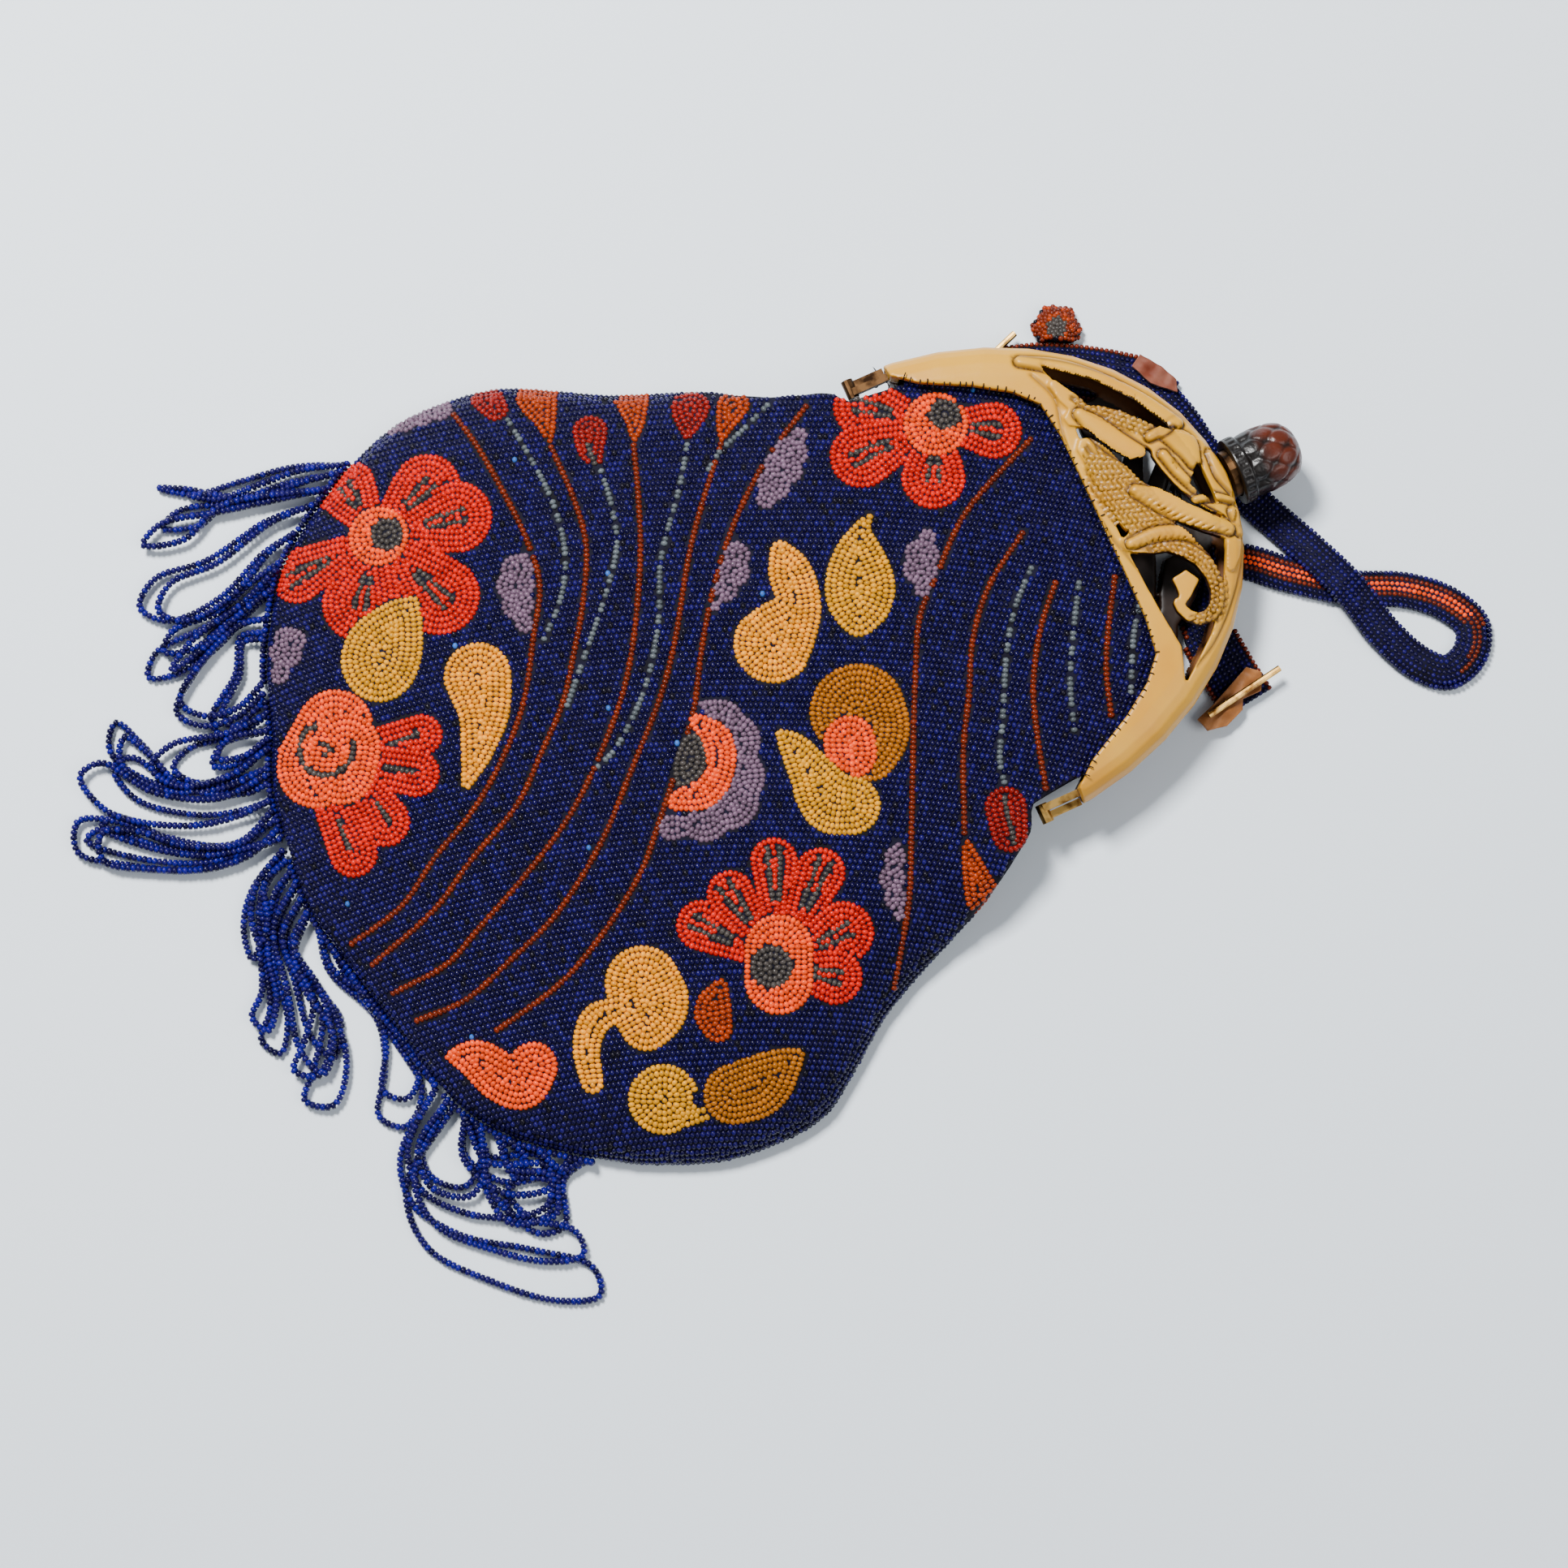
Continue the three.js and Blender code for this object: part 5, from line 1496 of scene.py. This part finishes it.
@dataclass
class Clasp:
    """The knob, a carved dark dome on its stem, and the collar round the stem."""

    layout: Layout
    finishes: Finishes
    mid_height: float = 12.1
    base: float = 77.3
    length: float = 17.7
    radius: float = 8.5
    socket_radius: float = 6.3
    socket_depth: float = 4.0
    stem_radius: float = 2.3
    leaves: int = 8
    carved_depth: float = 0.075
    sides: int = 160
    leaf_rows: tuple[tuple[float, float], ...] = ((0.3, 0.2), (0.52, 0.22), (0.74, 0.2), (0.93, 0.14))

    def build(self) -> None:
        """Builds the knob and dresses the collar."""
        collar = bpy.data.objects["clasp_collar"]
        round_edges(collar)
        finish_node(collar, self.finishes.dark_metal)
        knob = self.turned_knob()
        self.carve(knob)
        finish_piece(knob, self.finishes.horn, ("clasp_knob",), CLASP)
        smooth_shaded(knob, 60.0)

    def turned_knob(self) -> bpy.types.Object:
        """Turns the plain knob with its stem and socket by spinning its profile round the axis."""
        outer = np.array([
            (0.955, 0), (0.99, 0.012), (1, 0.04), (1, 0.15), (0.985, 0.175), (0.93, 0.19), (0.935, 0.22),
            (0.96, 0.32), (0.97, 0.42), (0.955, 0.55), (0.925, 0.68), (0.87, 0.77), (0.78, 0.855),
            (0.66, 0.91), (0.52, 0.952), (0.3, 0.985), (0.12, 0.998), (0.0, 1.0),
        ])
        outer = spline(outer, 6) * [self.radius, self.length]
        inner = np.array([
            (0.0, 0.0), (self.stem_radius, 0.0), (self.stem_radius, self.socket_depth),
            (self.socket_radius, self.socket_depth), (self.socket_radius, 0.0),
        ])
        profile = np.vstack([inner, outer])
        heights = np.full(len(profile), self.mid_height)
        points = self.layout.to_frame(np.column_stack([profile[:, 0], self.base + profile[:, 1], heights]))
        mesh = bpy.data.meshes.new("knob_carved")
        mesh.from_pydata(points.tolist(), [(i, i + 1) for i in range(len(points) - 1)], [])
        knob = bpy.data.objects.new("knob_carved", mesh)
        bpy.context.scene.collection.objects.link(knob)
        bpy.ops.object.select_all(action="DESELECT")
        bpy.context.view_layer.objects.active = knob
        knob.select_set(True)
        axis = self.layout.to_frame(np.array([[0.0, self.base, self.mid_height]]))[0]
        bpy.ops.object.mode_set(mode="EDIT")
        bpy.ops.mesh.select_all(action="SELECT")
        bpy.ops.mesh.spin(steps=self.sides, angle=math.tau, center=tuple(axis), axis=(0, 1, 0))
        bpy.ops.mesh.select_all(action="SELECT")
        bpy.ops.mesh.remove_doubles(threshold=1e-6)
        bpy.ops.mesh.normals_make_consistent(inside=False)
        bpy.ops.object.mode_set(mode="OBJECT")
        return knob

    def carve(self, knob: bpy.types.Object) -> None:
        """Cuts the leaves into the knob's skin and paints a red-brown highlight on them, with painted shade
        in the grooves.
        """
        local = self.layout.from_frame(vertices_of(knob))
        rise = local[:, 2] - self.mid_height
        radius = np.hypot(local[:, 0], rise)
        along = (local[:, 1] - self.base) / self.length
        skin = (radius > self.socket_radius + 0.2) | (along * self.length > self.socket_depth + 0.1)
        cut, painted_highlight = self.carving(along, np.arctan2(rise, local[:, 0]))
        scale = 1 - self.carved_depth * cut * skin
        local[:, 0] *= scale
        local[:, 2] = self.mid_height + rise * scale
        set_vertices(knob, self.layout.to_frame(local))
        paint(knob.data, np.repeat(painted_highlight[:, None], 3, axis=1), PAINTED_LIGHT_AND_WASH)

    def carving(self, along: np.ndarray, turns: np.ndarray) -> tuple[np.ndarray, np.ndarray]:
        """Carves rows of overlapping leaves round the knob.

        Args:
            along: Places on the knob from its base, 0, to its top, 1.
            turns: Their angles round the axis.

        Returns:
            How deep the carving is there, from 0 to 1, and the painted highlight: red-brown towards the top,
            with painted shade in the grooves.
        """
        depth = np.ones_like(along)
        for row, (middle, reach) in enumerate(self.leaf_rows):
            leaf = (turns / math.tau * self.leaves + 0.5 * (row % 2)) % 1 - 0.5
            lobe = np.hypot(leaf / 0.5, (along - middle) / reach)
            depth = np.minimum(depth, np.clip((lobe - 0.55) / 0.4, 0, 1))
        fade = np.clip((along - 0.17) / 0.05, 0, 1) * np.clip((1.0 - along) / 0.04, 0, 1)
        rim = 0.35 * (np.cos(turns * 24) > 0.2) * (np.abs(along - 0.1) < 0.05)
        # Painted highlight, growing towards the top and held back to painted shade in the carved grooves
        painted_highlight = np.clip((along - 0.3) / 0.3, 0.0, 1.0) * (1 - 0.85 * depth)
        return np.maximum(depth * fade, rim), painted_highlight


def round_edges(node: bpy.types.Object, width: float = 0.25) -> None:
    """Rounds a CAD node's edges with a modifier that leaves its own mesh alone."""
    bevel = node.modifiers.new("rounding", "BEVEL")
    bevel.width = width * MM
    bevel.segments = 2
    bevel.limit_method = "ANGLE"


def finish_node(node: bpy.types.Object, material: bpy.types.Material) -> None:
    """Dresses a CAD node that stays visible."""
    node.data.materials.clear()
    node.data.materials.append(material)


@dataclass
class Hardware:
    """Hinges and strap rods: CAD parts that stay visible, rounded and dressed."""

    finishes: Finishes

    def build(self) -> None:
        """Dresses the four pieces."""
        dressed = {
            "hinge_left": self.finishes.dark_metal,
            "hinge_right": self.finishes.brass,
            "strap_rod_left": self.finishes.brass,
            "strap_rod_right": self.finishes.brass,
        }
        for name, material in dressed.items():
            node = bpy.data.objects[name]
            round_edges(node)
            finish_node(node, material)


@dataclass
class Strap:
    """The woven bead strap with its two tabs."""

    layout: Layout
    finishes: Finishes
    half_width: float = FRAME_HALF_WIDTH
    height: float = FRAME_HEIGHT
    width: float = 9.0
    tab_width: float = 14.5
    thickness: float = 2.2
    bead: Bead = field(default_factory=lambda: Bead(0.66, 0.7, 0.55))
    bead_pitch: float = 1.26
    column_pitch: float = 1.3
    core_shrink: float = 0.45
    face_lift: float = 0.62
    edge_margin: float = 0.3

    def route(self) -> np.ndarray:
        """Returns the strap's middle line.

        Its columns are x and y as frame shares, the lift in thicknesses, the tab's share of
        the width and the share of the striped face.
        """
        return np.array([
            (-0.795, 0.5, 0, 1, 0), (-0.75, 0.61, 0, 1, 0), (-0.68, 0.72, 0, 1, 0), (-0.59, 0.83, 0, 1, 0),
            (-0.48, 0.93, 0, 0.6, 0), (-0.33, 0.975, 0, 0, 0), (-0.127, 1.004, 0, 0, 0),
            (0.157, 1.091, 0, 0, 0), (0.43, 1.185, 0.55, 0, 0), (0.63, 1.24, 1.28, 0, 0),
            (0.85, 1.285, 0.55, 0, 0), (1.03, 1.354, 0, 0, 0), (1.107, 1.426, 0, 0, 0.2),
            (1.072, 1.52, 0, 0, 0.5), (0.972, 1.564, 0, 0, 0.8), (0.845, 1.519, 0, 0, 1),
            (0.723, 1.413, 0, 0, 1), (0.62, 1.25, 0, 0, 1), (0.46, 1.078, 0, 0, 1),
            (0.335, 0.96, 0, 0, 1), (0.3, 0.85, 0, 0, 0), (0.4, 0.775, 0, 0.1, 0),
            (0.56, 0.755, 0, 0.8, 0), (0.74, 0.765, 0, 1, 0), (0.885, 0.78, 0, 1, 0),
        ])

    def build(self) -> None:
        """Builds the core and the beads on both faces."""
        core = dressed_copy(bpy.data.objects["strap"], "strap_core")
        apply_modifier(core, "WELD", merge_threshold=WELD * MM)
        places = vertices_of(core)
        set_vertices(core, places - normals_of(core) * self.core_shrink * MM)
        finish_piece(core, self.finishes.ground, ("strap",))
        smooth_shaded(core)
        route = self.route() * [self.half_width, self.height, self.thickness, 1.0, 1.0]
        curve = spline(route, 14)
        ahead = np.gradient(curve[:, :2], axis=0)
        ahead /= np.linalg.norm(ahead, axis=1, keepdims=True)
        side = np.column_stack([ahead[:, 1], -ahead[:, 0]])
        batch = BeadBatch(self.bead, seed=70)
        columns = int(self.tab_width / 2 / self.column_pitch)
        for face in (1, -1):
            for column in range(-columns, columns + 1):
                self.column(batch, curve, side, face, column)
        for piece in batch.build(self.layout, "strap_beads"):
            finish_piece(piece, self.finishes.beads)

    def column(self, batch: BeadBatch, curve: np.ndarray, side: np.ndarray, face: int, column: int) -> None:
        """Lays one line of beads along the strap, wherever the strap is wide enough for it.

        Args:
            batch: Where the beads go.
            curve: The strap's middle line: x, y, lift, tab share and striped share (n, 5).
            side: The directions across it (n, 2).
            face: 1 for the upper face and -1 for the lower.
            column: The line's number from the middle.
        """
        offset = column * self.column_pitch
        path = curve.copy()
        path[:, :2] += side * offset
        path[:, 2] += self.thickness / 2 + face * self.face_lift
        places, alongs, _ = even_steps(path, self.bead_pitch)
        tab = np.clip(places[:, 3], 0, 1)
        half = (self.width + (self.tab_width - self.width) * tab) / 2
        kept = np.abs(offset) < half - self.edge_margin
        alongs = alongs[kept, :3] * [1, 1, 0]
        normals = np.tile([0.0, 0.0, float(face)], (kept.sum(), 1))
        tones = self.tones(offset / half[kept], tab[kept], places[kept, 4], column + 20)
        batch.lay(places[kept, :3], alongs, normals, tones)

    @staticmethod
    def tones(across: np.ndarray, tab: np.ndarray, striped: np.ndarray, seed: int) -> np.ndarray:
        """Colours beads by where they lie on the strap.

        Args:
            across: Their places across it from -1 to 1.
            tab: The tab's share of the width there.
            striped: The share of the striped face that shows there.
            seed: The seed of the blue tones.

        Returns:
            Linear colours (n, 3).
        """
        rng = np.random.default_rng(900 + seed)
        blues = np.array([linear(t.value) for t in (Tone.NAVY, Tone.INDIGO)])
        tones = blues[rng.choice(2, len(across), p=[0.6, 0.4])]
        edge = 1.0 - 0.62 * striped
        rust = (striped > 0.1) & (across > edge - 0.75) & (across < 1.1 - edge)
        orange = (striped > 0.1) & (across > edge - 0.45) & (across < 0.75 - edge)
        tones[rust | ((tab > 0.5) & (np.abs(across) > 0.8))] = linear(Tone.RUST.value)
        tones[orange] = linear(Tone.ORANGE.value)
        return tones


@dataclass
class Linings:
    """The silk turned out at the two tabs: rust at the left one, brown at the right one.

    They are 5.1 and 6.7 mm wide.
    """

    finishes: Finishes
    crumple: float = 0.45

    def build(self) -> None:
        """Builds both pieces of silk."""
        silks = {"tab_lining_left": self.finishes.rust_silk, "tab_lining_right": self.finishes.silk}
        for name, material in silks.items():
            silk = dressed_copy(bpy.data.objects[name], f"{name}_silk")
            apply_modifier(silk, "WELD", merge_threshold=WELD * MM)
            apply_modifier(silk, "SUBSURF", subdivision_type="SIMPLE", levels=4)
            places = vertices_of(silk)
            x, y = places[:, 0] / MM, places[:, 1] / MM
            wave = np.sin(x * 1.1 + 0.6 * np.sin(y * 0.7)) * np.cos(y * 0.9 + x * 0.3)
            places[:, 2] += wave * self.crumple * MM
            set_vertices(silk, places)
            finish_piece(silk, material, (name,))
            smooth_shaded(silk, 60.0)


@dataclass
class Rosette:
    """The flower of red-brown beads beside the left tab."""

    layout: Layout
    finishes: Finishes
    centre: tuple[float, float] = (-52.5, 54.7)
    radius: float = 5.7
    count: int = 150
    golden_turn: float = 2.39996
    spread: float = 1.12
    heart_share: float = 0.45
    above: float = 20.0

    def build(self) -> None:
        """Builds the core and the beads spread over it."""
        node = bpy.data.objects["rosette"]
        core = dressed_copy(node, "rosette_core")
        surface = surface_of(node)
        finish_piece(core, self.finishes.ground, ("rosette",))
        smooth_shaded(core)
        rng = np.random.default_rng(81)
        batch = BeadBatch(Bead(0.75, 0.8, 0.75), seed=80)
        places, outs = [], []
        for number in range(self.count):
            share = math.sqrt((number + 0.5) / self.count)
            turn = number * self.golden_turn
            x = self.centre[0] + self.radius * self.spread * share * math.cos(turn)
            y = self.centre[1] + self.radius * self.spread * share * math.sin(turn)
            start = self.layout.to_frame(np.array([[x, y, self.above]]))[0]
            hit, normal, _, _ = surface.ray_cast(Vector(start), Vector((0, 0, -1)))
            if hit is not None:
                places.append(hit)
                outs.append(normal)
        points = self.layout.from_frame(np.array(places, float))
        normals = np.array(outs, float)
        alongs = np.cross(normals, rng.normal(0, 1, (len(points), 3)))
        choice = np.array([linear(t.value) for t in (Tone.RUST, Tone.WEDGE, Tone.SMOKE)])
        tones = choice[rng.choice(3, len(points), p=[0.6, 0.3, 0.1])]
        heart = np.linalg.norm(points[:, :2] - self.centre, axis=1) < self.radius * self.heart_share
        tones[heart] = linear(Tone.GREY.value)
        batch.lay(points, alongs, normals, tones)
        for piece in batch.build(self.layout, "rosette_beads"):
            finish_piece(piece, self.finishes.beads)


@dataclass
class Stitches:
    """Dark sewing thread: tufts at the frame's ends and stitches along its inner edge."""

    layout: Layout
    finishes: Finishes
    tufts: tuple[tuple[float, float, float, int], ...] = (
        (-53.0, 15.0, 12.0, 26), (51.0, 13.0, 12.0, 26), (-57.5, 6.5, 9.0, 16), (50.0, 6.0, 9.0, 16),
    )
    thickness: float = 0.18
    stitch_pitch: float = 1.9
    stitch_reach: tuple[float, ...] = (-0.5, 0.35, 1.3)
    stitch_levels: tuple[float, ...] = (20.3, 20.7, 18.3)

    def build(self) -> None:
        """Builds the tufts as one mesh and the row of stitches at the frame's edge as another."""
        rng = np.random.default_rng(61)
        strands = []
        for x, y, z, count in self.tufts:
            for _ in range(count):
                start = np.array([x, y, z]) + rng.normal(0, (1.0, 1.0, 0.4))
                steps = rng.normal(0, (1.0, 1.0, 0.45), (3, 3))
                strands.append(np.vstack([start, start + np.cumsum(steps, axis=0)]))
        self.strand_mesh("thread_tufts", strands)
        edge = np.array([
            (-54.4, 12.0), (-51.2, 15.4), (-44.8, 27.3), (-39.4, 35.3), (-34.0, 40.1), (-24.8, 41.4),
            (-12.0, 41.5), (0.0, 41.5), (12.0, 41.5), (24.8, 41.4), (34.0, 40.1), (39.4, 35.3),
            (44.8, 27.3), (51.2, 15.4), (54.4, 12.0),
        ])
        places, alongs, _ = even_steps(spline(edge, 6), self.stitch_pitch)
        inward = np.column_stack([alongs[:, 1], -alongs[:, 0]])
        stitches = []
        for place, way in zip(places, inward):
            lean = rng.normal(0, 0.25, 2)
            span = np.array(self.stitch_reach)[:, None] * way + lean
            height = np.array(self.stitch_levels) + rng.normal(0, 0.1)
            stitches.append(np.column_stack([place + span, height]))
        self.strand_mesh("frame_stitches", stitches)

    def strand_mesh(self, name: str, strands: list[np.ndarray]) -> None:
        """Joins thin three-sided tubes along strands of points, in millimetres, into one mesh."""
        vertices, faces = [], []
        corner = np.arange(3) / 3 * math.tau
        for strand in strands:
            curve = spline(strand, 4)
            curve[:, 2] = np.maximum(curve[:, 2], self.thickness)
            ahead = np.gradient(curve, axis=0)
            ahead /= np.linalg.norm(ahead, axis=1, keepdims=True)
            side = np.cross(ahead, [0.31, 0.22, 0.92])
            side /= np.linalg.norm(side, axis=1, keepdims=True)
            lift = np.cross(ahead, side)
            taper = np.full(len(curve), self.thickness)
            taper[[0, -1]] = self.thickness * 0.2
            rings = curve[:, None, :] + taper[:, None, None] * (
                np.cos(corner)[None, :, None] * side[:, None, :]
                + np.sin(corner)[None, :, None] * lift[:, None, :]
            )
            first = sum(len(v) for v in vertices)
            vertices.append(rings.reshape(-1, 3))
            for ring in range(len(curve) - 1):
                for k in range(3):
                    a = first + ring * 3 + k
                    b = first + ring * 3 + (k + 1) % 3
                    faces += [[a, b, b + 3], [a, b + 3, a + 3]]
            last = first + (len(curve) - 1) * 3
            faces += [[first, first + 2, first + 1], [last, last + 1, last + 2]]
        mesh = new_mesh(name, self.layout.to_frame(np.vstack(vertices)), np.array(faces))
        finish_piece(mesh, self.finishes.thread)


# The photo's table, light and camera


@dataclass
class Studio:
    """Floor, lights and camera."""

    layout: Layout
    view_width: float = 386.4
    view_centre: tuple[float, float] = (966.0, 966.0)
    elevation: float = 85.0
    lens: float = 65.0
    sensor: float = 36.0
    world_strength: float = 0.36

    def build(self) -> None:
        """Builds the stage."""
        bpy.ops.mesh.primitive_plane_add(size=4.0, location=(0, 0, -0.0002))
        floor = bpy.context.active_object
        floor.name = "table_top"
        floor.data.materials.append(TableTop().material())
        middle = self.layout.from_chart(np.array([self.view_centre]))[0]
        target = Vector(self.layout.to_frame(np.array([[*middle, 6.0]]))[0])
        right = Vector((*self.layout.chart_across, 0)).normalized()
        ahead = Vector((-right.y, right.x, 0))
        tilt = math.radians(self.elevation)
        distance = self.view_width * MM * self.lens / self.sensor
        back = Vector((0, 0, math.sin(tilt))) - ahead * math.cos(tilt)
        data = bpy.data.cameras.new("camera")
        data.lens = self.lens
        data.sensor_width = self.sensor
        data.clip_start = 0.01
        camera = bpy.data.objects.new("camera", data)
        bpy.context.scene.collection.objects.link(camera)
        up = back.cross(right)
        turn = Matrix((right, up, back)).transposed().to_4x4()
        camera.matrix_world = Matrix.Translation(target + back * distance) @ turn
        bpy.context.scene.camera = camera
        self.area("key_window", target, ahead * 0.6 - right * 0.4 + Vector((0, 0, 1.0)), 0.28, 38.0)
        self.area("fill_window", target, right * 0.9 - ahead * 0.3 + Vector((0, 0, 1.1)), 0.9, 10.0)
        world = bpy.data.worlds.new("soft_room")
        world.use_nodes = True
        shade = world.node_tree.nodes["Background"]
        shade.inputs["Color"].default_value = (*linear("#DCE4EE"), 1.0)
        shade.inputs["Strength"].default_value = self.world_strength
        bpy.context.scene.world = world

    @staticmethod
    def area(name: str, target: Vector, offset: Vector, size: float, watts: float) -> None:
        """Adds a square soft light.

        Args:
            name: The light's name.
            target: What it points at, in metres.
            offset: Where it stands from there.
            size: The length of its side.
            watts: Its power.
        """
        data = bpy.data.lights.new(name, "AREA")
        data.size = size
        data.energy = watts
        lamp = bpy.data.objects.new(name, data)
        bpy.context.scene.collection.objects.link(lamp)
        lamp.location = target + offset
        lamp.rotation_euler = (-offset).to_track_quat("-Z", "Y").to_euler()


def main() -> None:
    """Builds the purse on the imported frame, in order from the bag to the stage."""
    logging.basicConfig(level=logging.INFO, format="%(message)s")
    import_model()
    layout = find_layout()
    LOG.info("own origin at %.2f, %.2f mm", *layout.shift)
    finishes = Finishes()
    outline = Bag(layout, finishes).build()
    Fringe(layout, finishes, outline).build()
    CarvedFrame(layout, finishes).build()
    Clasp(layout, finishes).build()
    Hardware(finishes).build()
    Strap(layout, finishes).build()
    Linings(finishes).build()
    Rosette(layout, finishes).build()
    Stitches(layout, finishes).build()
    Studio(layout).build()


if __name__ == "__main__":
    main()
